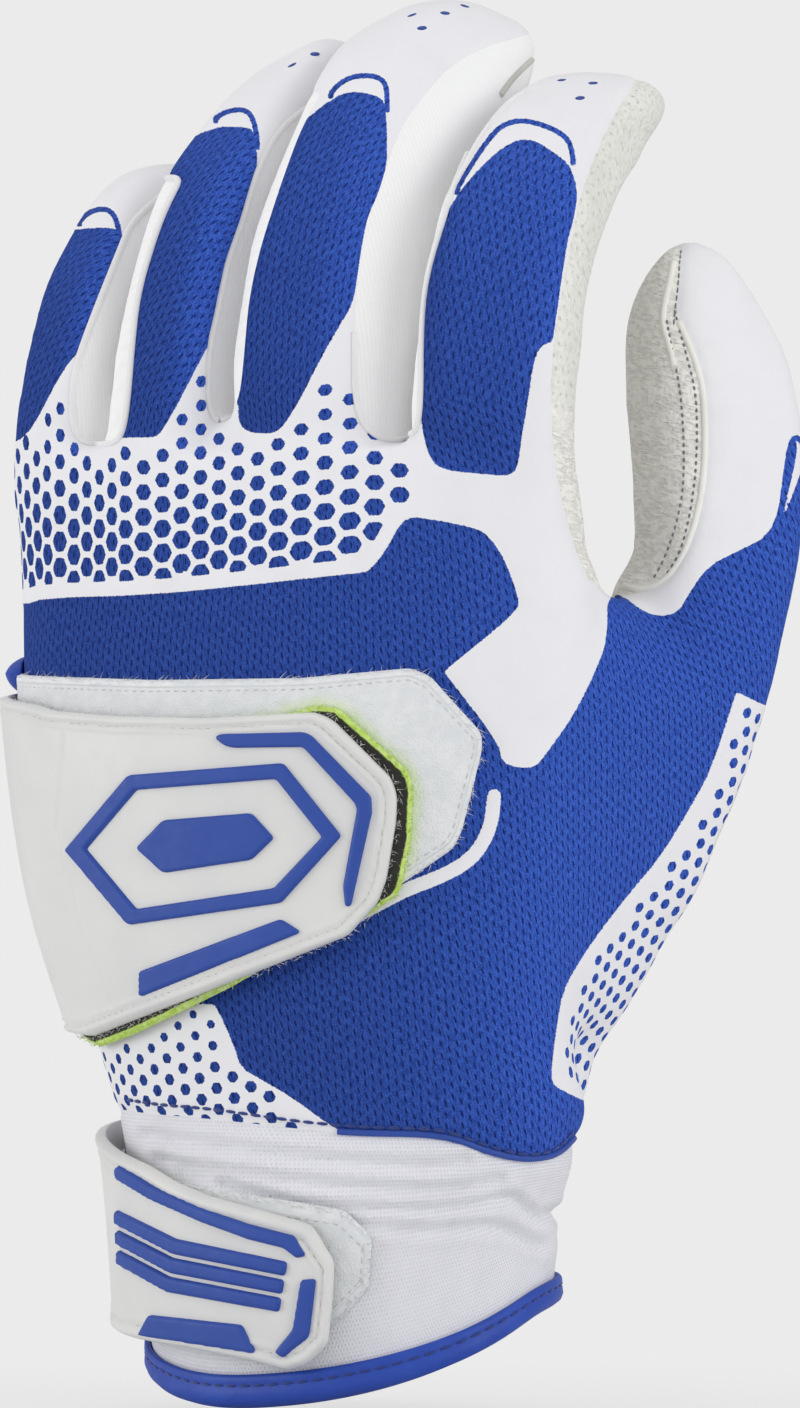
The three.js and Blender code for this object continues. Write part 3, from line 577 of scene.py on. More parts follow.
# Where fingers and thumb are looked for, and how near to it and along it a thumb's point lies
FINGERS_FROM, THUMB_FROM, THUMB_SIDE, ABOVE_HAND = 116, 60, 20, 128
HAND_SHARE, THUMB_SHARE, THUMB_SPAN = 1.05, 1.25, (0.42, 1.06)
BULGE_SHARE, BULGE_ROUNDS = 2.6, 8
owner = np.full(len(FORM), HAND)
way = np.zeros(len(FORM))
turn = np.zeros(len(FORM))
high = np.where(FORM[:, 2] > FINGERS_FROM)[0]
best = np.full(len(FORM), 1e9)
for k, name in enumerate(FINGER_NAMES[:4]):
    w, a, share = along_finger(before_fit[high], FINGERS[name])
    if name == "middle":
        # Its bulge is taken off again, which leads back to the plain tube
        near = np.where(share < BULGE_SHARE)[0]
        for _ in range(BULGE_ROUNDS):
            plain = before_fit[high[near]] - np.outer(widening(a[near], w[near]), (1, 0, 0))
            w[near], a[near], share[near] = along_finger(plain, FINGERS[name])
    closer = share < best[high]
    chosen = high[closer]
    best[chosen] = share[closer]
    owner[chosen], way[chosen], turn[chosen] = k, w[closer], a[closer]
hand_angle, hand_height, hand_share = hand_place(before_fit)
right = np.where((FORM[:, 0] > THUMB_SIDE) & (FORM[:, 2] > THUMB_FROM))[0]
w, a, share = along_finger(before_fit[right], FINGERS["thumb"])
off_hand = (FORM[right, 2] > ABOVE_HAND) | (hand_share[right] > HAND_SHARE)
within = (w > THUMB_SPAN[0]) & (w < THUMB_SPAN[1])
on_thumb = off_hand & within & (share < THUMB_SHARE) & (share < best[right])
chosen = right[on_thumb]
owner[chosen], way[chosen], turn[chosen] = THUMB, w[on_thumb], a[on_thumb]
for k, name in enumerate(FINGER_NAMES + ["hand"]):
    print(name, int((owner == k).sum()), "points")

# %% Seam outlines in the picture
CUFF_SEAM = [(-200, 1100), (100, 1105), (131, 1113), (210, 1119), (288, 1128), (345, 1134), (374, 1135),
             (446, 1137), (489, 1156), (528, 1164), (560, 1158), (574, 1140), (600, 1130), (900, 1130),
             (900, 1700), (-200, 1700)]
SIDE_SEAMS = {
    "little": [(185, 176), (172, 187), (150, 205), (130, 225), (123, 243), (112, 270), (100, 300),
               (83, 345), (75, 370), (72, 400), (73, 430), (80, 441), (92, 445), (106, 441), (118, 428)],
    "ring": [(330, 98), (313, 105), (295, 115), (275, 135), (260, 163), (250, 195), (240, 230), (228, 260),
             (222, 290), (216, 320), (209, 345), (207, 400), (210, 411), (218, 416), (227, 410), (235, 396)],
    "middle": [(530, 34), (510, 40), (490, 45), (450, 65), (425, 95), (405, 120), (388, 160), (378, 195),
               (368, 215), (362, 245), (357, 280), (355, 320), (354, 380), (357, 410), (364, 427),
               (378, 438), (395, 442), (408, 436), (416, 416)],
}
OUTER_SEAMS = {
    "ring": [(182, 178), (172, 196), (161, 220), (151, 250), (142, 280), (136, 310), (132, 350), (129, 390),
             (125, 425), (118, 444)],
    "middle": [(322, 92), (302, 125), (287, 165), (275, 200), (259, 250), (248, 300), (244, 350),
               (240, 390), (236, 404), (228, 416)],
    "index": [(508, 88), (487, 118), (470, 150), (455, 185), (442, 225), (430, 265), (424, 300), (421, 350),
              (421, 400), (418, 434)],
}
INDEX_LEATHER = [(640, 70), (632, 88), (620, 105), (605, 135), (590, 170), (580, 200), (572, 240),
                 (565, 280), (558, 320), (553, 350), (551, 400), (554, 450), (563, 500), (575, 545),
                 (590, 582)]
THUMB_LEATHER = [(681, 236), (680, 279), (675, 312), (688, 337), (697, 360), (702, 382), (704, 415),
                 (703, 476), (698, 517), (688, 546), (672, 575), (650, 590), (621, 594), (600, 592)]
print("seams drawn for", ", ".join({**SIDE_SEAMS, **OUTER_SEAMS}), "and thumb")

# %% Field of the side knit


def turn_from(angle, centre):
    """Degrees from a centre angle, the short way round."""
    return (angle - centre + 180) % 360 - 180


SIDE_TURN, BACK_LIMIT = 45, 110
# Millimetres to a degree round a finger, how far its tip has closed and how far it has left the hand
radius = np.full(len(FORM), 30.0)
for k, name in enumerate(FINGER_NAMES):
    radius[owner == k] = np.mean(FINGERS[name]["width"]) * 0.95
arc = radius * math.pi / 180
closing = smoothstep(way, 0.68, 0.88)
root_share = smoothstep(way * 65, -4, 5)
FAR_OUT = -20.0
side_knit = np.full(len(FORM), FAR_OUT)
for k, name in enumerate(FINGER_NAMES[:4]):
    mine = owner == k
    limit = SIDE_TURN * (1 - closing) * root_share
    inner = (np.where((turn < 0) & (name == "middle"), 1.7, 1.0) * limit - np.abs(turn)) * arc
    outer = (limit - np.abs(turn_from(turn, 180))) * arc
    if name in OUTER_SEAMS:
        seam = soft_line(OUTER_SEAMS[name])
        left_of_it = outline_field(PLACES, np.vstack([seam, seam[-1] - (200, 0), seam[0] - (200, 0)])) * PIXEL
        outer = np.where(turn > 60, left_of_it, outer)
    field = np.full(len(FORM), FAR_OUT)
    if name in SIDE_SEAMS:
        seam = soft_line(SIDE_SEAMS[name])
        beyond = [seam[-1] + (80, 0), (seam[-1][0] + 200, seam[0][1] - 40), seam[0] + (0, -40)]
        closed = np.vstack([seam, beyond])
        drawn = outline_field(PLACES, closed) * PIXEL
        back_half = (turn >= 0) & (turn < BACK_LIMIT)
        field = np.where(back_half, drawn, np.where(np.abs(turn) < BACK_LIMIT, inner, FAR_OUT))
    if name != "little":
        field = np.maximum(field, outer)
    side_knit[mine] = field[mine]
side_knit = relax(side_knit, EDGES, 5, 0.5)
print("side knit", int((side_knit > 0).sum()), "points")

# %% Fields of the leather and the cuff
leather = np.full(len(FORM), FAR_OUT)
BACK_TURN = math.radians(28)
HAND_BACK = np.array([-math.sin(BACK_TURN), -math.cos(BACK_TURN), 0])
facing = relax(NORMALS, EDGES, 30)
facing /= np.linalg.norm(facing, axis=1, keepdims=True)
# How far the cloth faces the back where palm and back meet
seam_turn = -0.24 - 0.36 * smoothstep(FORM[:, 0], 8, 22) * (1 - smoothstep(FORM[:, 2], 46, 62))
leather[owner == HAND] = ((seam_turn - facing @ HAND_BACK) * 22)[owner == HAND]
strip = np.vstack([soft_line(INDEX_LEATHER), [(640, 582), (760, 300), (760, 40), (640, 40)]])
index_strip = outline_field(PLACES, strip) * PIXEL
# How far the leather goes round a finger from the middle of its front, in degrees to both sides
LEATHER_REACH = {"little": (88, 45), "ring": (45, 45), "middle": (45, 14),
                 "index": (45, 122), "thumb": (120, 70)}
for k, name in enumerate(FINGER_NAMES):
    mine = owner == k
    first_reach, last_reach = LEATHER_REACH[name]
    from_front = turn_from(turn, 270)
    low_limit = first_reach * (1 - closing) + 90 * closing
    high_limit = last_reach * (1 - closing) + (55 if name == "middle" else 90) * closing
    field = np.where(from_front < 0, low_limit + from_front, high_limit - from_front) * arc
    if name == "index":
        field = np.where((turn > -80) & (turn < 110), index_strip, field)
    if name == "thumb":
        edge = np.vstack([soft_line(THUMB_LEATHER), [(500, 590), (500, 200), (681, 200)]])
        drawn = outline_field(PLACES, edge) * PIXEL
        shown = (turn > 60) | (turn < -150)
        field = np.where(shown, drawn, field)
    if name == "middle":
        field = np.minimum(field, (NORMALS[:, 1] - 0.3) * 14 + 20 * (1 - smoothstep(way, 0.55, 0.7)))
    leather[mine] = field[mine]
beside_index = (owner == HAND) & (FORM[:, 2] > 107) & (PLACES[:, 0] > 540) & (FORM[:, 0] < 48)
leather[beside_index] = np.maximum(leather[beside_index], index_strip[beside_index])
leather = relax(leather, EDGES, 6, 0.5)
cuff = outline_field(PLACES, rounded(CUFF_SEAM, 2)) * PIXEL
print("leather", int((leather > 0).sum()), "cuff", int((cuff > 0).sum()), "points")

# %% [markdown]
# ## Prints
# The white areas of the back are a thin film pressed on the blue knit. One field holds all of them, so the
# film can stand a little proud in the mesh, and the material can switch between film and knit along the
# same edge.

# %% Print outlines in the picture
KNUCKLE_FILM = [(-100, 606), (25, 605), (45, 598), (150, 595), (250, 585), (330, 576), (364, 572.5),
                (370, 570), (385, 552), (400, 524), (410, 517), (430, 519), (476, 528), (490, 537),
                (506, 562), (519, 600), (518, 608), (500, 626), (448, 668), (444, 672), (448, 677),
                (498, 742), (502, 763), (520, 768), (535, 767), (545, 755), (573, 716), (595, 672),
                (607, 640), (607, 593), (650, 560), (650, 300), (740, 190), (740, -60), (-100, -60)]
THUMB_FILM = [(600, 560), (607, 593), (622, 595), (635, 606), (650, 615), (668, 616), (680, 610),
              (690, 592), (708, 566), (740, 550), (768, 536), (780, 505), (789, 440), (796, 438),
              (797, 455), (783, 512), (786, 512), (812, 440), (830, 380), (830, 150), (600, 150)]
WINDOWS = {
    "little": [(-60, 470), (18, 443), (35, 425), (60, 375), (83, 345), (100, 300), (112, 270), (120, 250),
               (123, 240), (121, 231), (112, 228), (92, 228), (75, 230), (30, 232), (-60, 300)],
    "ring": [(60, 437), (150, 438), (158, 436), (164, 428), (180, 400), (200, 360), (212, 340), (216, 320),
             (222, 290), (228, 260), (240, 230), (250, 195), (258, 168), (256, 145), (253, 130), (245, 127),
             (213, 127), (170, 150), (60, 300)],
    "middle": [(238, 400), (239, 424), (248, 432), (265, 434), (277, 432), (285, 424), (300, 400),
               (320, 360), (340, 325), (353, 303), (357, 280), (362, 245), (368, 215), (378, 195),
               (387, 168), (387, 130), (385, 103), (379, 97), (365, 93), (350, 92), (335, 97), (290, 130),
               (180, 300), (222, 396)],
    "index": [(418, 400), (421, 300), (430, 260), (440, 225), (452, 203), (462, 189), (481, 167),
              (502, 148), (520, 139), (535, 141), (550, 150), (568, 163), (575, 180), (578, 200),
              (573, 225), (568, 240), (562, 280), (557, 320), (553, 343), (546, 343), (538, 350),
              (533, 365), (528, 400), (522, 435), (518, 465), (513, 474), (505, 476), (470, 473),
              (445, 470), (432, 462), (424, 440)],
}
TIP_LINES = {
    "little": [(80, 222), (88, 214), (98, 210), (108, 210), (114, 215), (118, 226), (120, 238)],
    "ring": [(216, 119), (225, 113), (238, 110), (248, 112), (253, 119), (256, 131), (257, 145)],
    "middle": [(331, 94), (341, 83), (354, 77), (370, 76), (381, 79), (386, 86), (387, 97), (387, 108)],
    "index": [(457, 190), (468, 171), (481, 151), (497, 130), (508, 124), (521, 121), (538, 124),
              (556, 131), (567, 139), (571, 148), (573, 161)],
}
CURVED_LINE = [(494, 796), (492, 820), (484, 842), (468, 862), (440, 877), (405, 890), (371, 908),
               (340, 925)]
SIDE_STRIP = [(736, 692), (737, 692), (763, 705), (830, 730), (760, 900), (640, 1060), (600, 1108),
              (584, 1101), (565, 1092), (551, 1084), (552, 1060), (556, 1030), (562, 993), (575, 968),
              (596, 936), (630, 892), (660, 857), (690, 808), (712, 767)]
WRIST_CORNER = [(60, 1060), (120, 1040), (165, 1015), (212, 1000), (222, 1018), (235, 1048), (241, 1068),
                (262, 1080), (290, 1096), (320, 1118), (352, 1140), (352, 1200), (60, 1200)]
THUMB_LINE = [(778, 528), (782, 500), (788, 452), (792, 439), (797, 437), (803, 445)]
print(len(WINDOWS), "windows and", len(TIP_LINES) + 1, "tip lines")

# %% Fields of the prints
CURVED_LINE_HALF = 1.05
BELOW_KNUCKLES = 640
NO_LINE = 9.0


def print_field(outline):
    """Distance in millimetres from the form's points to a print's outline, positive inside."""
    return outline_field(PLACES, rounded(outline, 1)) * PIXEL


film = np.maximum(print_field(KNUCKLE_FILM), print_field(THUMB_FILM))
line_side = np.full(len(FORM), NO_LINE)
line_gap = np.full(len(FORM), NO_LINE)
for k, name in enumerate(FINGER_NAMES[:4]):
    window = np.minimum(print_field(WINDOWS[name]), (0.12 - NORMALS[:, 1]) * 8)
    film = np.where((owner == k) | (owner == HAND), np.minimum(film, -window), film)
for k, line in enumerate([*TIP_LINES.values(), THUMB_LINE]):
    line = soft_line(line)
    under = np.vstack([line[0] + (0, 80), line, line[-1] + (0, 80)])
    line_side = np.where(owner == k, outline_field(PLACES, under) * PIXEL, line_side)
    gap = line_distance(PLACES, line) * PIXEL + 20 * np.maximum(NORMALS[:, 1] - 0.05, 0)
    line_gap = np.where(owner == k, gap, line_gap)
strip_film, corner_film = print_field(SIDE_STRIP), print_field(WRIST_CORNER)
line_film = CURVED_LINE_HALF - line_distance(PLACES, soft_line(CURVED_LINE)) * PIXEL
film = np.maximum.reduce([film, strip_film, line_film, corner_film])
# How large a honeycomb hole is where its middle lies, in millimetres from middle to side
x, y = PLACES.T
knuckle_holes = (0.86 + 0.56 * smoothstep(y, 410, 565)) * (y > 378) * (x < 408) * (y < 605) * (owner != THUMB)
knuckle_holes *= (NORMALS[:, 1] < -0.4) | (x < 60)
strip_holes = 0.98 * (strip_film > 0) * (y > BELOW_KNUCKLES)
corner_holes = (0.66 + 0.33 * smoothstep(y, 1000, 1100)) * (corner_film > 0)
holes = np.maximum.reduce([knuckle_holes, strip_holes, corner_holes])
print("film covers", int((film > 0).sum()), "points")

# %% Raise the film, sink the seams
HEM_CUT = 1.2
FILM_RISE = 0.14
raise_film = FILM_RISE * smoothstep(film, -0.3, 0.4) * (leather < 0) * (side_knit < 0) * (cuff < 0)
sink = (0.15 * np.exp(-(side_knit / 0.8) ** 2) + 0.35 * np.exp(-(leather / 0.7) ** 2)
        + 0.5 * np.exp(-(cuff / 0.9) ** 2))
FORM = FORM + NORMALS * (raise_film - sink)[:, None]
NORMALS = point_normals(FORM, TRIANGLES)
print("film stands", FILM_RISE, "mm proud")

# %% [markdown]
# ## Cutting
# A triangle that a seam crosses is split on the seam, and both panels keep the same points there. So panels
# meet exactly, and every value a point carries goes on smoothly from one to the next.

# %% Cut along a field


def cut(cloth, field):
    """Splits a cloth where a field passes through zero. Returns the part above and the part below."""
    f = np.where(np.abs(field) < 1e-4, 1e-4, field)
    tri = cloth["tri"]
    above = f[tri] > 0
    count = above.sum(1)
    mixed = (count == 1) | (count == 2)
    odd = np.argmax(above[mixed] == (count[mixed] == 1)[:, None], axis=1)
    rows = tri[mixed]
    take = np.arange(len(rows))
    a, b, c = rows[take, odd], rows[take, (odd + 1) % 3], rows[take, (odd + 2) % 3]
    n = len(f)
    pair = np.vstack([np.column_stack([a, b]), np.column_stack([a, c])])
    pair.sort(axis=1)
    keys, where = np.unique(pair[:, 0].astype(np.int64) * n + pair[:, 1], return_inverse=True)
    low, high_end = keys // n, keys % n
    share = f[low] / (f[low] - f[high_end])
    values = {}
    for key, data in cloth.items():
        if key == "tri":
            continue
        weight = share if data.ndim == 1 else share[:, None]
        values[key] = np.concatenate([data, data[low] * (1 - weight) + data[high_end] * weight])
    ab, ac = n + where[:len(a)], n + where[len(a):]
    tip = np.column_stack([a, ab, ac])
    rest = np.vstack([np.column_stack([ab, b, c]), np.column_stack([ab, c, ac])])
    tip_above = count[mixed] == 1
    both = np.concatenate([tip_above, tip_above])
    upper = np.vstack([tri[count == 3], tip[tip_above], rest[~both]])
    under = np.vstack([tri[count == 0], tip[~tip_above], rest[both]])
    return tidy(values, upper), tidy(values, under)


def tidy(values, tri):
    """Keeps only the points that the triangles use."""
    used, flat = np.unique(tri, return_inverse=True)
    part = {key: data[used] for key, data in values.items()}
    part["tri"] = flat.reshape(-1, 3)
    return part


def rim_edges(tri, n):
    """The edges that only one triangle has, in its direction."""
    edge = np.vstack([tri[:, [0, 1]], tri[:, [1, 2]], tri[:, [2, 0]]]).astype(np.int64)
    return edge[~np.isin(edge[:, 0] * n + edge[:, 1], edge[:, 1] * n + edge[:, 0])]


def islands(cloth):
    """The separate pieces of a cloth, largest first."""
    tri, n = cloth["tri"], len(cloth["point"])
    label = np.arange(n)
    while True:
        small = label[tri].min(1)
        new = label.copy()
        for k in range(3):
            np.minimum.at(new, tri[:, k], small)
        new = new[new]
        if (new == label).all():
            break
        label = new
    names, sizes = np.unique(label[tri[:, 0]], return_counts=True)
    for name in names[np.argsort(-sizes)]:
        yield tidy({k: v for k, v in cloth.items() if k != "tri"}, tri[label[tri[:, 0]] == name])


# %% Cut the panels
FINGER_CUT = 140.0
THUMB_CUT = 0.60
away = np.full(len(FORM), -6.0)
on_finger = owner < THUMB
away[on_finger] = FORM[on_finger, 2] - FINGER_CUT
away[owner == THUMB] = (way[owner == THUMB] - THUMB_CUT) * FINGERS["thumb"]["length"]
bored = (on_finger & (way > 0.08)).astype(float)
form = dict(point=FORM, normal=NORMALS, film=film, holes=holes, line_side=line_side, line_gap=line_gap,
            bored=bored, leather=leather, side_knit=side_knit, cuff=cuff, away=away,
            hem=hand_height - HEM_CUT, owner=owner.astype(float), way=way, turn=turn, place=PLACES,
            hand_angle=hand_angle, hand_height=hand_height, tri=TRIANGLES)
form, _ = cut(form, np.where(form["point"][:, 2] < 40, form["hem"], 5))
cuff_cloth, body_cloth = cut(form, form["cuff"])
leather_cloth, rest_cloth = cut(body_cloth, body_cloth["leather"])
knit_cloth, back_cloth = cut(rest_cloth, rest_cloth["side_knit"])
cloths = {"cuff": cuff_cloth, "leather": leather_cloth, "knit": knit_cloth, "back": back_cloth}
for label, cloth in cloths.items():
    print(label, [len(part["tri"]) for part in islands(cloth)][:8], "triangles")

# %% [markdown]
# ## Laying the cloth flat
# Knit and prints follow the cloth, so the back needs flat coordinates, as before sewing. Blender's unwrap
# lays the whole back flat at once. The result is turned and scaled to millimetres, so patterns keep their
# real size.

# %% Unwrap


def lay_flat(cloth):
    """Unwraps a light copy of one island, carries its flat places over and turns them upright."""
    piece = mesh_object("flat", cloth["point"], cloth["tri"], np.zeros((len(cloth["point"]), 2)))
    lighter = piece.modifiers.new("lighter", "DECIMATE")
    lighter.ratio = 0.12
    piece.data = evaluated(piece)
    piece.modifiers.clear()
    bpy.context.view_layer.objects.active = piece
    piece.select_set(True)
    bpy.ops.object.mode_set(mode="EDIT")
    bpy.ops.mesh.select_all(action="SELECT")
    bpy.ops.mesh.quads_convert_to_tris()
    bpy.ops.uv.unwrap(method="ANGLE_BASED", margin=0)
    bpy.ops.object.mode_set(mode="OBJECT")
    uv = read(piece.data.uv_layers[0].data, "uv", 2).reshape(-1, 3, 2)
    index = read(piece.data.loops, "vertex_index", 1, np.int32).reshape(-1, 3)
    spots = read(piece.data.vertices, "co", 3).astype(float) / MM
    bpy.data.objects.remove(piece)
    tree = BVHTree.FromPolygons(spots.tolist(), index.tolist())
    face = np.array([tree.find_nearest(Vector(p))[2] for p in cloth["point"]])
    a, b, c = (spots[index[face, k]] for k in range(3))
    ab, ac, ap = b - a, c - a, cloth["point"] - a
    d00, d01, d11 = (ab * ab).sum(1), (ab * ac).sum(1), (ac * ac).sum(1)
    d20, d21 = (ap * ab).sum(1), (ap * ac).sum(1)
    ground = np.maximum(d00 * d11 - d01 * d01, 1e-9)
    v, w = (d11 * d20 - d01 * d21) / ground, (d00 * d21 - d01 * d20) / ground
    shares = np.column_stack([1 - v - w, v, w])
    flat = (shares[:, :, None] * uv[face]).sum(1)
    first, second, third = (spots[index[:, k]] for k in range(3))
    real = np.linalg.norm(np.cross(second - first, third - first), axis=1)
    one, two = uv[:, 1] - uv[:, 0], uv[:, 2] - uv[:, 0]
    drawn = np.abs(one[:, 0] * two[:, 1] - one[:, 1] * two[:, 0])
    middle_z = spots[index].mean(1)[:, 2]
    on_hand_back = (middle_z > 45) & (middle_z < 115)
    true_scale = float(np.sqrt(real[on_hand_back].sum() / drawn[on_hand_back].sum()))
    front = cloth["normal"][:, 1] < -0.6
    goal = (cloth["place"][:, 0] - 348) * PIXEL + 1j * (1320 - cloth["place"][:, 1]) * PIXEL
    best = None
    for mirrored in (False, True):
        spot = flat[:, 0] + 1j * flat[:, 1] * (-1 if mirrored else 1)
        middle, aim = spot[front].mean(), goal[front].mean()
        here, there = spot[front] - middle, goal[front] - aim
        turn_by = np.vdot(here, there) / np.vdot(here, here)
        error = np.abs(here * turn_by - there).mean()
        if best is None or error < best[0]:
            best = (error, (spot - middle) * turn_by / abs(turn_by) * true_scale + aim)
    print("laid flat, mean shift", round(float(best[0]), 1), "mm")
    return np.column_stack([best[1].real, best[1].imag])


def join(cloths):
    """Several cloths as one."""
    starts = np.cumsum([0] + [len(cloth["point"]) for cloth in cloths])
    both = {key: np.concatenate([cloth[key] for cloth in cloths]) for key in cloths[0] if key != "tri"}
    both["tri"] = np.vstack([cloth["tri"] + start for cloth, start in zip(cloths, starts)])
    return both


# %% Flat coordinates of the back and the leather
back_cloth, *slivers = islands(back_cloth)
leather_cloth = join([leather_cloth] + slivers)
back_cloth["uv"] = lay_flat(back_cloth)
DEGREE = 0.62


def hand_flat(cloth):
    """Flat coordinates from the way round the hand, at its mean millimetres to a degree, and the height."""
    return np.column_stack([cloth["hand_angle"] * DEGREE, cloth["hand_height"]])


leather_cloth["uv"] = hand_flat(leather_cloth)
for k, name in enumerate(FINGER_NAMES):
    mine = leather_cloth["owner"].round() == k
    leather_cloth["uv"][mine] = np.column_stack([
        leather_cloth["turn"][mine] * np.mean(FINGERS[name]["width"]) * math.pi / 180,
        leather_cloth["way"][mine] * FINGERS[name]["length"]])
print(len(slivers), "slivers go to the leather")

# %% [markdown]
# The honeycomb of the knuckles is counted in columns and rows, from the places of its bottom row in the
# picture. Past the glove's edge the count goes on evenly over the flat cloth. Each hole then takes one size
# from its own middle.

# %% Columns and rows of the holes
COLUMN, ROW = 3.12, 3.6
STRIP_SIDE = 450
FREE_ROOM = (0.1, 0.5, 0.95)
FOOT_ROW, FOOT_ROOM, NEAR_MIDDLE = 535, -0.2, 0.9
COLUMN_PLACES = (46, 75, 100, 125, 163, 201, 238, 278, 325, 375, 425)
FILM_FOOT = [(25, 605), (45, 598), (150, 595), (250, 585), (330, 576), (368, 572)]
ROW_PIXELS = [(40, 27), (110, 25.5), (180, 24), (350, 24.4)]
x, y = back_cloth["place"].T
u, v = back_cloth["uv"].T
foot, pixels = (np.interp(x, *np.transpose(table)) for table in (FILM_FOOT, ROW_PIXELS))
column = np.interp(x, COLUMN_PLACES, 2 * np.arange(len(COLUMN_PLACES)))
counted = np.column_stack([column, (foot - 16 - y) / pixels])
level = np.column_stack([np.ones(len(u)), u, v])
left_part = (x > 48) & (x < 140) & (y > 440) & (y < 600) & (back_cloth["normal"][:, 1] < -0.4)
even = level @ np.linalg.lstsq(level[left_part], counted[left_part], rcond=None)[0]
share = smoothstep(-back_cloth["normal"][:, 1], 0.3, 0.55) * smoothstep(x, 40, 60)
share = np.maximum(share, smoothstep(x, 62, 78))[:, None]
comb = (counted * share + even * (1 - share) + 0.5) * (COLUMN, ROW)
small = np.where(x < STRIP_SIDE, 0.9, 0.84)[:, None] * (1.09, 0.97)
comb = np.where((y < BELOW_KNUCKLES)[:, None], comb, back_cloth["uv"] / small)


def hole_sizes(cloth, comb):
    """One size for all points of a hole: that of its middle, or none where the film is too narrow for it."""
    column = np.floor(comb[:, 0] / COLUMN)
    odd = np.mod(column, 2) * 0.5
    row = np.floor(comb[:, 1] / ROW + odd)
    middle = np.column_stack([(column + 0.5) * COLUMN, (row + 0.5 - odd) * ROW])
    x, y = cloth["place"].T
    area = np.where(y < BELOW_KNUCKLES, 0, np.where(x < STRIP_SIDE, 1, 2))
    sizes = np.zeros(len(comb))
    for number in range(3):
        mine = np.where((area == number) & (cloth["film"] > -1))[0]
        tree = KDTree(len(mine))
        for i, spot in zip(mine, comb[mine]):
            tree.insert((*spot, 0), i)
        tree.balance()
        for spot in np.unique(middle[mine], axis=0):
            _, nearest, gap = tree.find((*spot, 0))
            free = cloth["film"][nearest] - cloth["holes"][nearest]
            at_foot = number == 0 and y[nearest] > FOOT_ROW
            fits = gap < NEAR_MIDDLE and free > (FOOT_ROOM if at_foot else FREE_ROOM[number])
            here = mine[(middle[mine] == spot).all(1)]
            limit = -0.25 if x[nearest] < 340 else 0.1
            turned_away = number == 0 and x[nearest] > 60 and cloth["normal"][here, 1].max() > limit
            sizes[here] = cloth["holes"][nearest] if fits and not turned_away else 0.0
    return sizes


back_cloth["comb_u"], back_cloth["comb_v"] = comb.T
back_cloth["holes"] = hole_sizes(back_cloth, comb)
back_cloth["hole_room"] = np.where((y > 520) & (y < BELOW_KNUCKLES), back_cloth["film"], 20.0)
leather_cloth["comb_u"] = leather_cloth["comb_v"] = np.zeros(len(leather_cloth["point"]))
in_comb = comb[y < BELOW_KNUCKLES]
print("honeycomb spans", in_comb.min(0).round(), "to", in_comb.max(0).round(), "mm")

# %% [markdown]
# ## Finishes
# Each finish is a small node tree on the shader. Patterns that follow the cloth read its flat coordinates
# in millimetres, and the others read the object's own coordinates. A signal is a value on its way through
# the tree, and plain arithmetic with signals adds the Math nodes.

# %% Node helpers


class Signal:
    """A node's output. Arithmetic with it adds Math nodes to its finish."""

    def __init__(self, finish, socket):
        self.finish = finish
        self.socket = socket

    def __add__(self, other):
        return self.finish.maths("ADD", self, other)

    def __sub__(self, other):
        return self.finish.maths("SUBTRACT", self, other)

    def __rsub__(self, other):
        return self.finish.maths("SUBTRACT", other, self)

    def __mul__(self, other):
        return self.finish.maths("MULTIPLY", self, other)

    def __truediv__(self, other):
        return self.finish.maths("DIVIDE", self, other)

    def __mod__(self, other):
        return self.finish.maths("FLOORED_MODULO", self, other)

    def __abs__(self):
        return self.finish.maths("ABSOLUTE", self)

    def step(self, low, high):
        """A soft step from 0 at low to 1 at high."""
        return self.between(low, high, 0.0, 1.0, "SMOOTHSTEP")

    def between(self, low, high, first, last, way="LINEAR"):
        """Goes from the first value at low to the last at high."""
        return self.finish.node("MapRange", self, low, high, first, last, interpolation_type=way)


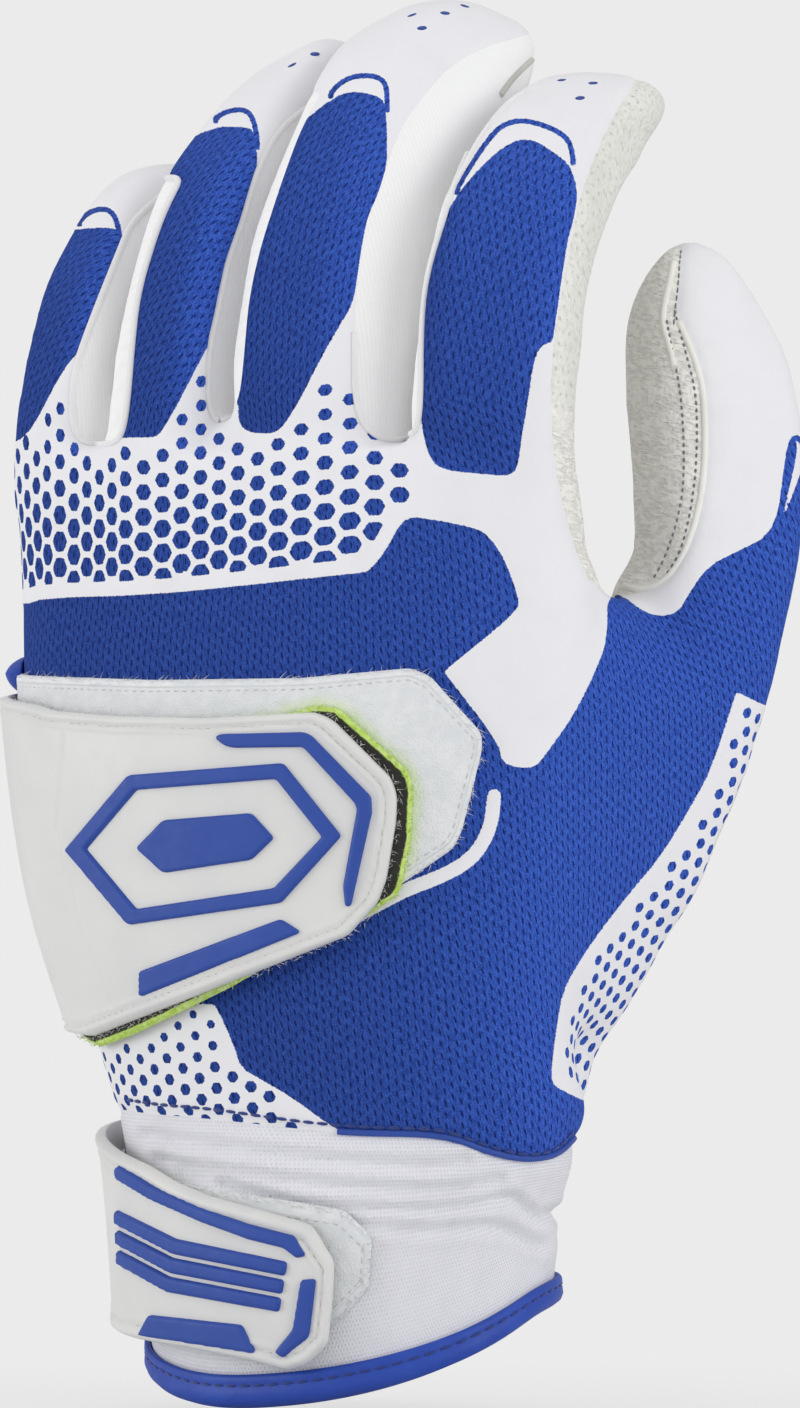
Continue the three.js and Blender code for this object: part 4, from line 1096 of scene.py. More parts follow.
class Finish:
    """A material with a few short ways to add nodes."""

    def __init__(self, name, colour, roughness, **values):
        self.material = bpy.data.materials.new(name)
        self.material.use_nodes = True
        self.tree = self.material.node_tree
        self.shader = self.tree.nodes["Principled BSDF"]
        self.shader.inputs["Base Color"].default_value = (*colour, 1)
        self.shader.inputs["Roughness"].default_value = roughness
        for key, value in values.items():
            self.shader.inputs[key.replace("_", " ").title().replace("Ior", "IOR")].default_value = value

    def feed(self, socket, value):
        """Links a signal to a socket, or sets the socket to a plain value."""
        if isinstance(value, Signal):
            self.tree.links.new(value.socket, socket)
        elif value is not None:
            socket.default_value = (*value, 1) if socket.type == "RGBA" else value

    def node(self, kind, *inputs, output=0, **settings):
        """Adds a node with its settings, feeds its inputs in order and gives one of its outputs."""
        made = self.tree.nodes.new("ShaderNode" + kind)
        for key, value in settings.items():
            setattr(made, key, value)
        for socket, value in zip(made.inputs, inputs):
            self.feed(socket, value)
        return Signal(self, made.outputs[output])

    def maths(self, operation, *inputs):
        return self.node("Math", *inputs, operation=operation)

    def vectors(self, operation, *inputs, output=0):
        return self.node("VectorMath", *inputs, output=output, operation=operation)

    def mix(self, share, a, b):
        """A colour between two others."""
        return self.node("Mix", share, *[None] * 5, a, b, output=2, data_type="RGBA")

    def cloth(self):
        """The flat coordinates of the cloth in millimetres: the vector, and its two parts."""
        vector = self.node("UVMap", uv_map="cloth")
        return vector, self.node("SeparateXYZ", vector), self.node("SeparateXYZ", vector, output=1)

    def solid(self):
        """The object's own coordinates in metres."""
        return self.node("TexCoord", output="Object")

    def value(self, name):
        """A value that the mesh carries at its points."""
        return self.node("Attribute", output="Fac", attribute_name=name)

    def noise(self, vector, scale, detail=2.0, output=0):
        return self.node("TexNoise", vector, None, scale, detail, output=output, noise_dimensions="3D")

    def offsets(self, u, v, pitch_u, pitch_v, by_rows=True):
        """Way from the nearest middle of a staggered grid, across and along."""
        u = u / pitch_u
        v = v / pitch_v
        if by_rows:
            u = u + self.maths("FLOOR", v) % 2.0 * 0.5
        else:
            v = v + self.maths("FLOOR", u) % 2.0 * 0.5
        return (self.maths("FRACT", u) - 0.5) * pitch_u, (self.maths("FRACT", v) - 0.5) * pitch_v

    def paint(self, colour=None, roughness=None, height=None, depth=0.1):
        """Feeds the shader, with the height as a bump of some depth in millimetres."""
        self.feed(self.shader.inputs["Base Color"], colour)
        self.feed(self.shader.inputs["Roughness"], roughness)
        if height is not None:
            bump = self.node("Bump", 1.0, depth * MM, None, height)
            self.feed(self.shader.inputs["Normal"], bump)
        return self.material


# %% Printed knit of the back
BLUE, DEEP_BLUE, PALE_BLUE = (0.011, 0.039, 0.248), (0.003, 0.010, 0.105), (0.045, 0.116, 0.51)
WHITE, SOILED_WHITE = (0.84, 0.84, 0.87), (0.76, 0.76, 0.785)
SLOT_PITCH, SLOT_HALF = (1.15, 1.7), (0.135, 0.52)
# The side from which the knit is painted lighter: painted light and shade
KNIT_LIGHT_SIDE = (0.6, 0.0, 0.4)
SMALLEST_HOLE = 0.3
FOOT_MARGIN = 2.1
ARC_HALF = 0.44


def knit_parts(finish):
    """Colour and height of the blue mesh knit: staggered leaning slots between fine upright yarns, with
    painted light and shade by the way the cloth faces.
    """
    vector, u, v = finish.cloth()
    across, along = finish.offsets(u, v, *SLOT_PITCH, by_rows=False)
    on_finger = finish.value("bored")
    across = (across + along * (0.2 - on_finger * 0.5)) / SLOT_HALF[0]
    along = along / SLOT_HALF[1]
    wobble = (finish.noise(vector, 1.7) - 0.5) * 0.7
    slot = (across * across + along * along + wobble).step(1.7, 0.3)
    lean = finish.node("CombineXYZ", u + v * 0.1, v)
    yarn = finish.noise(finish.vectors("MULTIPLY", lean, (3.1, 0.9, 1.0)), 1.0).step(0.36, 0.64)
    grain = finish.noise(lean, 3.8).step(0.34, 0.66)
    yarn = (yarn + grain) * 0.5
    colour = finish.mix(yarn, BLUE, PALE_BLUE)
    colour = finish.mix(slot * (0.85 - on_finger * 0.1), colour, DEEP_BLUE)
    # Painted light and shade: the knit's colour is made lighter where the cloth faces the thumb's side and
    # up, and darker where it faces away
    normal = finish.node("NewGeometry", output="Normal")
    turned = finish.vectors("DOT_PRODUCT", normal, KNIT_LIGHT_SIDE, output="Value")
    painted_light = turned.between(-0.45, 0.45, 0.74, 1.3, "SMOOTHSTEP")
    return finish.vectors("SCALE", colour, None, None, painted_light), yarn * 0.6 - slot + 0.6


def printed_knit():
    """The knit with its film: a mask from the film's field, less the holes and the arcs at the tips."""
    finish = Finish("printed_knit", BLUE, 0.8, specular_ior_level=0.12)
    colour, height = knit_parts(finish)
    vector, _, _ = finish.cloth()
    rough_edge = (finish.noise(vector, 2.6) - 0.5) * 0.34
    film_mask = (finish.value("film") + rough_edge).step(-0.06, 0.06)
    comb = finish.offsets(finish.value("comb_u"), finish.value("comb_v"), COLUMN, ROW, by_rows=False)
    across, along = abs(comb[0]), abs(comb[1])
    size = finish.value("holes")
    hexagon = finish.maths("MAXIMUM", along, across * 0.866 + along * 0.5)
    circle = finish.maths("SQRT", across * across + along * along)
    hole = (hexagon * 0.6 + circle * 0.4 - size + rough_edge).step(0.05, -0.05)
    hole = hole * size.step(SMALLEST_HOLE, SMALLEST_HOLE + 0.1)
    hole = hole * (finish.value("hole_room") + rough_edge).step(FOOT_MARGIN, FOOT_MARGIN + 0.1)
    arc = (abs(finish.value("line_side")) + rough_edge).step(ARC_HALF, ARC_HALF - 0.1)
    arc = arc * finish.value("line_gap").step(0.9, 0.7)
    film_mask = film_mask * (1.0 - finish.maths("MAXIMUM", hole, arc))
    white = finish.mix(finish.noise(vector, 0.12, 3.0).step(0.45, 0.8) * 0.35, WHITE, SOILED_WHITE)
    level = finish.node("Mix", film_mask, None, height, height * 0.08 + 1.0, data_type="FLOAT")
    roughness = film_mask.between(0.0, 1.0, 0.85, 0.55)
    return finish.paint(finish.mix(film_mask, colour, white), roughness, level, 0.12)


PRINTED_KNIT = printed_knit()
print("made", PRINTED_KNIT.name)

# %% Knits, leather and foam
RIB_PITCH = 0.75 * MM
BORE_PITCH = 1.9
# The grey of the painted shade in the leather's folds, the grey of the bores, and the plain pale leather
FOLD_SHADE_GREY, BORE_GREY, PLAIN_LEATHER = (0.42, 0.405, 0.365), (0.42, 0.41, 0.38), (0.95, 0.925, 0.87)


def side_knit_finish():
    """Fine ribbed stretch knit of the strips between the fingers."""
    finish = Finish("side_knit", (0.78, 0.78, 0.785), 0.85, specular_ior_level=0.2)
    vector = finish.solid()
    side = finish.node("SeparateXYZ", vector) + finish.node("SeparateXYZ", vector, output=1) * 0.8
    rib = finish.maths("SINE", side * (2 * math.pi / RIB_PITCH))
    tone = finish.mix(rib.step(-1.0, 0.6), (0.90, 0.90, 0.905), (0.925, 0.925, 0.93))
    return finish.paint(tone, None, rib * 0.4 + finish.noise(vector, 2400.0), 0.045)


def leather_finish(name, light, dark):
    """Pebbled leather, with fine bores on the fingers, and paler with fine folds on the thumb and palm; the
    folds are sunk in the bump and darkened by painted shade.
    """
    finish = Finish(name, light, 0.6, specular_ior_level=0.35)
    vector = finish.solid()
    bent = finish.vectors("SCALE", finish.noise(vector, 420.0, output="Color"), None, None, 0.0016)
    bent = finish.vectors("ADD", vector, bent)
    pebble = finish.node("TexVoronoi", bent, None, 1500.0, feature="SMOOTH_F1", voronoi_dimensions="3D")
    crease = pebble.step(0.75, 0.2)
    bored = finish.value("bored")
    plain = 1.0 - bored
    tone = crease.step(-0.4, 0.9) * finish.noise(vector, 60.0, 3.0).step(0.1, 0.65)
    colour = finish.mix(plain * 0.6, finish.mix(tone, dark, light), PLAIN_LEATHER)
    height = crease * 0.7 + finish.noise(vector, 620.0, 4.0) * 0.8
    slant = finish.node("VectorRotate", vector, None, None, -0.25, rotation_type="Y_AXIS")
    folds = finish.noise(finish.vectors("MULTIPLY", slant, (480.0, 480.0, 2000.0)), 1.0, 3.0).step(0.34, 0.56)
    folds = (1.0 - folds) * plain * finish.noise(vector, 130.0).step(0.1, 0.5)
    # Painted shade: the folds are darkened a little towards grey, besides being sunk in the bump
    colour = finish.mix(folds * 0.2, colour, FOLD_SHADE_GREY)
    _, u, v = finish.cloth()
    across, along = finish.offsets(u, v, BORE_PITCH, BORE_PITCH)
    spot = finish.maths("SQRT", across * across + along * along).step(0.3, 0.16) * bored
    colour = finish.mix(spot * 0.26, colour, BORE_GREY)
    return finish.paint(colour, None, height - folds * 1.1 - spot * 0.7, 0.15)


def cuff_finish():
    """Foam under a fine dotted knit."""
    finish = Finish("cuff_knit", WHITE, 0.85, sheen_weight=0.1)
    vector, u, v = finish.cloth()
    across, along = finish.offsets(u, v, 0.62, 0.5)
    dot = (across * across + along * along).step(0.035, 0.008)
    tone = finish.mix(finish.noise(vector, 0.15, 3.0).step(0.4, 0.8), (0.84, 0.84, 0.89), (0.80, 0.80, 0.85))
    tone = finish.mix(dot * 0.14, tone, (0.45, 0.45, 0.5))
    return finish.paint(tone, None, finish.noise(vector, 3.0) * 0.5 - dot, 0.1)


SIDE_KNIT = side_knit_finish()
LEATHER = leather_finish("leather", (0.83, 0.83, 0.79), (0.70, 0.695, 0.65))
CUFF_KNIT = cuff_finish()
print("made", SIDE_KNIT.name, LEATHER.name, CUFF_KNIT.name)

# %% Moulded rubber, binding, pile and thread


def rubber_finish(name, colour, edge, roughness):
    """Satin moulded rubber with a faint texture and cloudy tone. Rolled knit and leather edges share it, and
    so does a darker leather edge that is painted shade.
    """
    finish = Finish(name, colour, roughness, specular_ior_level=0.35)
    vector = finish.solid()
    tone = finish.mix(finish.noise(vector, 90.0, 3.0).step(0.35, 0.75), colour, edge)
    rough = finish.noise(vector, 700.0).between(0.3, 0.7, roughness - 0.08, roughness + 0.1)
    return finish.paint(tone, rough, finish.noise(vector, 2200.0), 0.03)


def binding_finish():
    """Coated tape with a fine grain and scuffed highs."""
    finish = Finish("blue_binding", BLUE, 0.5, specular_ior_level=0.35)
    vector = finish.solid()
    wear = finish.noise(vector, 130.0, 4.0).step(0.4, 0.8)
    tone = finish.mix(wear, (0.018, 0.062, 0.40), (0.027, 0.085, 0.47))
    return finish.paint(tone, None, finish.noise(vector, 1500.0, 3.0), 0.08)


def pile_finish(name, light, dark, size):
    """A brushed loop pile: soft clumps over fine fibres, tinted where it lies beside the bright hook edge."""
    finish = Finish(name, light, 0.95, specular_ior_level=0.1)
    vector = finish.solid()
    clump = finish.noise(vector, size, 4.0)
    height = clump + finish.noise(vector, size * 8, 3.0) * 0.6
    near = finish.value("glow") + clump * 2.0
    tone = finish.mix(clump.step(0.3, 0.7), dark, light)
    tone = finish.mix(near.step(3.0, 0.5) * 0.55, tone, (0.66, 0.84, 0.30))
    return finish.paint(tone, None, height * finish.value("inset").step(0.9, 1.3), 0.3)


def hook_finish():
    """Hook tape: dark woven ground with a bright edge."""
    finish = Finish("hook_tape", (0.03, 0.03, 0.025), 0.8)
    fuzz = finish.noise(finish.solid(), 900.0, 3.0)
    edge = finish.value("inset") + (fuzz - 0.5) * 0.5
    lime = finish.mix(fuzz.step(0.3, 0.7), (0.50, 0.72, 0.10), (0.68, 0.86, 0.30))
    return finish.paint(finish.mix(edge.step(0.55, 0.8), lime, (0.022, 0.022, 0.018)), None, fuzz, 0.25)


def thread_finish(name, colour):
    """Twisted sewing thread."""
    finish = Finish(name, colour, 0.6, sheen_weight=0.2)
    twist = finish.noise(finish.solid(), 5000.0)
    shade = tuple(0.6 * part for part in colour)
    return finish.paint(finish.mix(twist.step(0.3, 0.7), shade, colour), None, twist, 0.05)


MOULDED_WHITE = rubber_finish("moulded_white", (0.75, 0.75, 0.73), (0.71, 0.71, 0.705), 0.42)
RAISED_BLUE = rubber_finish("raised_blue", (0.024, 0.070, 0.355), (0.028, 0.078, 0.375), 0.5)
BLUE_BINDING = binding_finish()
LOOP_PILE = pile_finish("loop_pile", (0.83, 0.845, 0.86), (0.77, 0.79, 0.81), 420.0)
HOOK_TAPE = hook_finish()
ROLLED_KNIT = rubber_finish("rolled_knit", (0.83, 0.83, 0.835), (0.80, 0.80, 0.805), 0.8)
LEATHER_LIP = rubber_finish("leather_lip", (0.90, 0.89, 0.84), (0.82, 0.81, 0.76), 0.7)
# A darker copy of the pale leather for the middle fingertip's edge: painted shade
SHADED_LEATHER_EDGE = rubber_finish("shaded_leather_edge", (0.60, 0.59, 0.56), (0.50, 0.49, 0.46), 0.7)
WHITE_THREAD = thread_finish("white_thread", (0.78, 0.78, 0.77))
LIME_THREAD = thread_finish("lime_thread", (0.62, 0.82, 0.16))
GREY_THREAD = thread_finish("grey_thread", (0.21, 0.22, 0.26))
BLUE_THREAD = thread_finish("blue_thread", (0.012, 0.04, 0.26))
print("made", MOULDED_WHITE.name, RAISED_BLUE.name, BLUE_BINDING.name, LOOP_PILE.name, HOOK_TAPE.name)

# %% [markdown]
# ## Sewing the panels
# A panel gets the thickness of its cloth, with walls along its edges, and keeps the form's own shading, so
# a join that is no seam doesn't show. Finger panels stay where they are sewn, and hand panels ride on the
# hand.

# %% Panels
KNIT_WALL, LEATHER_WALL, SIDE_WALL, FOAM_WALL = 1.0, 1.0, 0.8, 2.2
BEND_HALF = 7.0
CARRIED = ("film", "holes", "hole_room", "comb_u", "comb_v", "line_side", "line_gap", "bored")


def walled(tri, n):
    """Faces of a closed piece: a skin, the same skin turned over below it, and walls along the edges."""
    a, b = rim_edges(tri, n).T
    walls = np.column_stack([b, a, a + n]), np.column_stack([b, a + n, b + n])
    return np.vstack([tri, tri[:, ::-1] + n, *walls])


def dress(piece, values, material):
    """Gives a walled piece its values, the same on both skins, and its material."""
    for key, data in values.items():
        layer = piece.data.attributes.new(key, "FLOAT", "POINT")
        layer.data.foreach_set("value", np.concatenate([data, data]).astype(np.float32))
    piece.data.materials.append(material)


def sew(name, cloth, wall, material):
    """Turns a cloth into a closed piece of that thickness."""
    point, normal = cloth["point"], cloth["normal"]
    flat = cloth["uv"] if "uv" in cloth else hand_flat(cloth)
    faces = walled(cloth["tri"], len(point))
    piece = mesh_object(name, np.vstack([point, point - normal * wall]), faces, np.vstack([flat, flat]))
    piece.data.normals_split_custom_set_from_vertices(np.vstack([normal, -normal]).tolist())
    dress(piece, {key: cloth[key] for key in CARRIED if key in cloth}, material)
    print(name, len(cloth["tri"]))
    return piece


def ride(piece, body, *nodes):
    """Fixes a piece to a body, in the place of some of the solids."""
    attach(piece, body)
    if nodes:
        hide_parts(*nodes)


def bend(piece, name, *nodes):
    """Works out the ends of a finger's bend, a little before its joint and a little after, and hides the
    solids the piece stands for; the piece stays as it is.
    """
    finger = FINGERS[name]
    half = BEND_HALF / finger["length"]
    ends = finger_frame(finger, np.array([finger["joint"] - half, finger["joint"] + half]))[0] * MM
    name + "_end"
    tuple(ends[0])
    tuple(ends[1])
    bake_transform(piece)
    if nodes:
        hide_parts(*nodes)


def finger_of(cloth):
    """The finger that most of a cloth belongs to."""
    return FINGER_NAMES[np.bincount(cloth["owner"].round().astype(int), minlength=6)[:5].argmax()]


def by_finger(cloth):
    """One cloth for each finger's name."""
    groups = {}
    for part in islands(cloth):
        groups.setdefault(finger_of(part), []).append(part)
    return {name: join(parts) for name, parts in groups.items()}


finger_back, hand_back = cut(back_cloth, back_cloth["away"])
ride(sew("hand_back", hand_back, KNIT_WALL, PRINTED_KNIT), "hand", "back_panel")
for name, part in by_finger(finger_back).items():
    piece = sew(name + "_back", part, KNIT_WALL, PRINTED_KNIT)
    bend(piece, name, name + "_back_base", name + "_back_tip", name + "_sleeve")
finger_front, palm = cut(leather_cloth, leather_cloth["away"])
ride(sew("palm", palm, LEATHER_WALL, LEATHER), "hand", "palm_panel")
for name, part in by_finger(finger_front).items():
    piece = sew(name + "_front", part, LEATHER_WALL, LEATHER)
    bend(piece, name, name + "_front_base", name + "_front_tip")

# %% Side knit
GAPS = (("little", "ring"), ("ring", "middle"), ("middle", "index"))
GAP_LIMITS = (155, 305)
SMALLEST_SIDE = 300
finger_sides, crotches = cut(knit_cloth, knit_cloth["away"])
crotch_parts = {gap: [] for gap in GAPS}
for part in islands(crotches):
    crotch_parts[GAPS[int(np.searchsorted(GAP_LIMITS, part["place"][:, 0].mean()))]].append(part)
for (left, right), parts in crotch_parts.items():
    piece = sew(f"{left}_{right}_crotch", join(parts), SIDE_WALL, SIDE_KNIT)
    ride(piece, "hand", f"{left}_{right}_gusset")
for part in islands(finger_sides):
    if len(part["tri"]) >= SMALLEST_SIDE:
        name = finger_of(part)
        side = "inner" if np.cos(np.radians(part["turn"])).mean() > 0 else "outer"
        piece = sew(f"{name}_side_{side}", part, SIDE_WALL, SIDE_KNIT)
        bend(piece, name, f"{name}_tip_gusset_{side}")

# %% [markdown]
# ## Cuff
# The cuff is foam under knit, with moulded grooves that follow its upper seam. Each groove is a line in the
# picture, and the cloth sinks along it and swells beside it.

# %% Cuff
GROOVES = [
    [(146, 1135), (239, 1149), (346, 1162), (440, 1167), (466, 1160)],
    [(160, 1160), (274, 1180), (381, 1190), (465, 1191), (498, 1180)],
    [(180, 1173), (310, 1203), (381, 1211), (480, 1206), (511, 1193), (535, 1220), (557, 1212), (620, 1200)],
    [(220, 1186), (346, 1222), (417, 1231), (490, 1226), (512, 1232), (530, 1243), (541, 1246)],
]
GROOVE_DEPTH, GROOVE_SWELL = 0.95, 0.3
grooves = np.zeros(len(cuff_cloth["point"]))
for line in GROOVES:
    gap = line_distance(cuff_cloth["place"], soft_line(line)) * PIXEL
    grooves += GROOVE_SWELL * np.exp(-((gap - 1.8) / 0.9) ** 2) - GROOVE_DEPTH * np.exp(-(gap / 0.8) ** 2)
cuff_cloth["point"] = cuff_cloth["point"] + cuff_cloth["normal"] * grooves[:, None]
cuff_cloth["normal"] = point_normals(cuff_cloth["point"], cuff_cloth["tri"])
ride(sew("wrist_cuff", cuff_cloth, FOAM_WALL, CUFF_KNIT), "hand", "cuff")

# %% Hem binding
# The binding's section: distance out from the hand and height over the hem
HEM_PROFILE = [(0.25, 4.0), (0.75, 4.1), (1.1, 3.7), (1.22, 3.1), (0.98, 2.7), (1.25, 2.3), (1.4, 1.3),
               (1.1, 0.45), (0.4, -0.05), (-1.1, -0.2), (-2.6, -0.05), (-3.2, 0.6), (-3.4, 1.8),
               (-3.3, 4.0), (-2.5, 4.0), (-2.4, 1.4), (0.0, 1.3)]
profile_out, profile_up = np.transpose(HEM_PROFILE)
rail = hand_point(np.linspace(190, 542, 240)[:, None], profile_up[None, :], profile_out[None, :])
rail[..., 2] += np.minimum(profile_up, 0)
rail_points, rail_faces = closed_loft(fitted(rail.reshape(-1, 3)).reshape(rail.shape))
piece = mesh_object("hem_binding", rail_points, rail_faces[:, ::-1], np.zeros((len(rail_points), 2)))
piece.data.materials.append(BLUE_BINDING)
ride(piece, "hand", "cuff_binding")
print(piece.name, len(rail_faces))

# %% [markdown]
# ## Straps
# Pads, tabs and raised marks are moulded patches that lie on the hand. A patch is a fine grid in degrees
# round the hand and height along it, cut by its outline, and its thickness follows the distance from its
# edge.

# %% Lines on the hand
SIGHT_STEP = 14
CORNER_STEPS = (0, 0.25, 0.5, 0.75, 1)


def on_hand(places, out, closed=False):
    """Turns a line of places in the picture into angles and heights on the hand, a distance out from it."""
    angle, height = np.arange(-20, 201.0), np.arange(0, 111.0)
    grid = hand_point(angle[None, :], height[:, None], out)
    across = len(angle)
    i, j = np.meshgrid(np.arange(across - 1), np.arange(len(height) - 1))
    a = (j * across + i).ravel()
    quads = np.column_stack([a, a + 1, a + across + 1, a + across])
    tree = BVHTree.FromPolygons(grid.reshape(-1, 3).tolist(), quads.tolist())
    dense, found = [], []
    for a, b in zip(places, places[1:] + places[:1] if closed else places[1:]):
        count = max(1, round(math.dist(a, b) / SIGHT_STEP))
        dense += [(a[0] + (b[0] - a[0]) * k / count, a[1] + (b[1] - a[1]) * k / count) for k in range(count)]
    for place in dense if closed else dense + places[-1:]:
        hit = tree.ray_cast(*sight(place))[0]
        if hit is not None:
            spot = hand_place(np.array([hit]), out)
            found.append((spot[0][0], spot[1][0]))
    return found


def flattened(line):
    """A line of angles and heights in millimetres on the flat."""
    return np.array(line, float) * (DEGREE, 1)


def soften(points, radius):
    """Rounds the corners of an outline by a small radius and keeps its sides straight."""
    line, out = np.array(points, float), []
    for before, corner, after in zip(np.roll(line, 1, axis=0), line, np.roll(line, -1, axis=0)):
        back, on = before - corner, after - corner
        far_back, far_on = np.linalg.norm(back), np.linalg.norm(on)
        first = corner + back / far_back * min(radius, 0.45 * far_back)
        last = corner + on / far_on * min(radius, 0.45 * far_on)
        out += [(1 - t) ** 2 * first + 2 * t * (1 - t) * corner + t * t * last for t in CORNER_STEPS]
    return np.array(out)


# %% Moulded patches


def patch(name, outline, base, profile, material, step=0.5, corner=1.5,
          hollow=None, glow=None, grow=0.0, fold=None):
    """A moulded patch: base is its floor over the hand, profile its thickness from the edge inwards."""
    line = soften(flattened(outline), corner)
    low, top = line.min(0) - step, line.max(0) + step
    us, vs = np.arange(low[0], top[0] + step, step), np.arange(low[1], top[1] + step, step)
    flat = np.stack(np.meshgrid(us, vs), -1).reshape(-1, 2)
    i, j = np.meshgrid(np.arange(len(us) - 1), np.arange(len(vs) - 1))
    a = (j * len(us) + i).ravel()
    b, c, d = a + 1, a + len(us) + 1, a + len(us)
    tri = np.vstack([np.column_stack([a, b, c]), np.column_stack([a, c, d])])
    inset = outline_field(flat, line) + grow
    if hollow is not None:
        inset = np.minimum(inset, grow - outline_field(flat, soften(flattened(hollow), corner)))
    cloth, _ = cut(dict(flat=flat, inset=inset, tri=tri), inset)
    flat, inset = cloth["flat"], np.maximum(cloth["inset"], 0)
    angle, height = flat[:, 0] / DEGREE, flat[:, 1]
    floor = base(angle) if callable(base) else np.full(len(angle), base)
    thick = profile(inset)
    if fold is not None:
        thick = thick - FOLD_DEPTH * np.exp(-(line_distance(flat, flattened(fold)) / 0.28) ** 2)
    faces = walled(cloth["tri"][:, ::-1], len(flat))
    points = np.vstack([hand_point(angle, height, floor + thick), hand_point(angle, height, floor)])
    piece = mesh_object(name, points, faces, np.vstack([flat, flat]))
    gap = np.full(len(flat), 20.0) if glow is None else np.abs(outline_field(flat, flattened(glow)))
    dress(piece, {"inset": inset, "glow": gap}, material)
    print(name, len(faces), "triangles")
    return piece


def soft_edge(thickness, radius):
    """A rounded edge."""
    return lambda inset: thickness * np.sqrt(np.maximum(1 - (1 - np.minimum(inset / radius, 1)) ** 2, 0.02))


def tab_profile(inset):
    """A moulded tab: rounded edge, a raised rim of two lines, then a flat field."""
    rim = (0.32 * (1 - smoothstep(inset, 1.05, 1.35)) - 0.2 * np.exp(-((inset - 1.55) / 0.2) ** 2)
           + 0.22 * np.exp(-((inset - 2.1) / 0.25) ** 2))
    return soft_edge(TAB_WALL, 0.6)(inset) + rim * smoothstep(inset, 0.0, 0.45)


def strap_floor(first, last):
    """The strap lies on its pads, and comes down to the glove past its sewn line."""
    return lambda angle: ANCHOR_FLOOR + (TAB_FLOOR - ANCHOR_FLOOR) * (1 - smoothstep(angle, first, last))


def strap_bend(piece, body):
    """Works out two points round the strap's sewn line, and lets the strap stand for the tab and its anchor,
    whose solids are hidden.
    """
    angle, height = STRAP_HINGES[body]
    ends = hand_point([angle + HINGE_HALF, angle - HINGE_HALF], height, HINGE_OUT) * MM
    tuple(ends[0])
    tuple(ends[1])
    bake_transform(piece)
    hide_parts(body + "_tab", body + "_anchor")


# %% Hand strap
LOOP_FLOOR, HOOK_FLOOR, TAB_FLOOR, MARK_FLOOR, ANCHOR_FLOOR = 0.25, 1.5, 2.55, 3.9, 0.5
LOOP_REACH, HOOK_REACH, TAB_REACH, MARK_REACH = 1.0, 2.0, 4.1, 4.3
TAB_WALL, FOLD_DEPTH = 1.45, 0.22
LOOP_EDGE, HOOK_EDGE = soft_edge(0.95, 0.6), soft_edge(0.85, 0.5)
STRAP_HINGES = {"hand_strap": (176, 67), "wrist_strap": (172, 17)}
HINGE_HALF, HINGE_OUT = 7, 2.5
hook_line = on_hand([
    (90, 745), (200, 738), (314, 706), (338, 708), (409, 772), (413, 788), (411, 840), (400, 893), (374, 912),
    (300, 946), (232, 986), (170, 1016), (130, 1035), (98, 1047)], HOOK_REACH) + [(166, 44), (166, 84)]
loop_line = [(168, 97), (168, 50)] + on_hand([
    (100, 1000), (250, 960), (405, 882), (454, 849), (463, 832), (484, 749), (483, 733), (431, 676),
    (411, 668), (300, 678), (150, 680), (60, 677)], LOOP_REACH)
tab_line = [(226, 92), (200, 94), (184, 94.5)] + on_hand([
    (26, 704), (48, 711), (110, 716), (200, 718), (314, 712), (332, 720), (392, 778), (398, 795), (397, 822),
    (387, 880), (378, 903), (347, 936), (85, 1036)], TAB_REACH) + [(182, 43), (200, 43), (226, 44)]
tab_fold = on_hand([(62, 735), (55, 830), (80, 930), (112, 1008)], TAB_REACH)
piece = patch("hand_loop_pad", loop_line, LOOP_FLOOR, LOOP_EDGE, LOOP_PILE, glow=hook_line)
ride(piece, "hand", "hand_strap_loop_pad")
piece = patch("hand_strap_band", tab_line, strap_floor(160, 186), tab_profile, MOULDED_WHITE,
              step=0.36, corner=1.2, fold=tab_fold)
strap_bend(piece, "hand_strap")
piece = patch("hand_hook_pad", hook_line, HOOK_FLOOR, HOOK_EDGE, HOOK_TAPE)
ride(piece, "hand_strap", "hand_strap_hook_pad")
hand_marks = {
    "upper_bar": [(216, 738), (219, 735), (303, 733), (310, 736), (370, 797), (371, 812), (350, 905),
                  (346, 906), (344, 886), (358, 810), (356, 803), (306, 749), (302, 746), (230, 747)],
    "lower_bar": [(140, 972), (280, 920), (299, 932), (140, 996)],
    "badge": [(66, 850), (128, 776), (282, 764), (340, 836), (280, 902), (128, 924)],
    "badge_core": [(137, 848), (163, 821), (250, 814), (272, 838), (250, 859), (163, 872)],
}
BADGE_INSIDE = [(84, 849), (135, 789), (276, 778), (323, 837), (274, 889), (135, 910)]
for name, places in hand_marks.items():
    hollow = on_hand(BADGE_INSIDE, MARK_REACH, True) if name == "badge" else None
    line = on_hand(places, MARK_REACH, True)
    piece = patch("hand_" + name, line, MARK_FLOOR, soft_edge(0.75, 0.25), RAISED_BLUE,
                  step=0.26, corner=0.4, hollow=hollow, grow=0.15)
    nodes = () if name == "badge_core" else ("hand_strap_" + name,)
    ride(piece, "hand_strap", *nodes)
slot_line = [(195, 92), (195, 99), (180, 100), (170, 99), (163, 97.5), (170, 94.5), (180, 93)]
piece = patch("slot_binding", slot_line, 0.3, soft_edge(3.0, 2.6), BLUE_BINDING, step=0.4)
ride(piece, "hand", "strap_slot_binding")

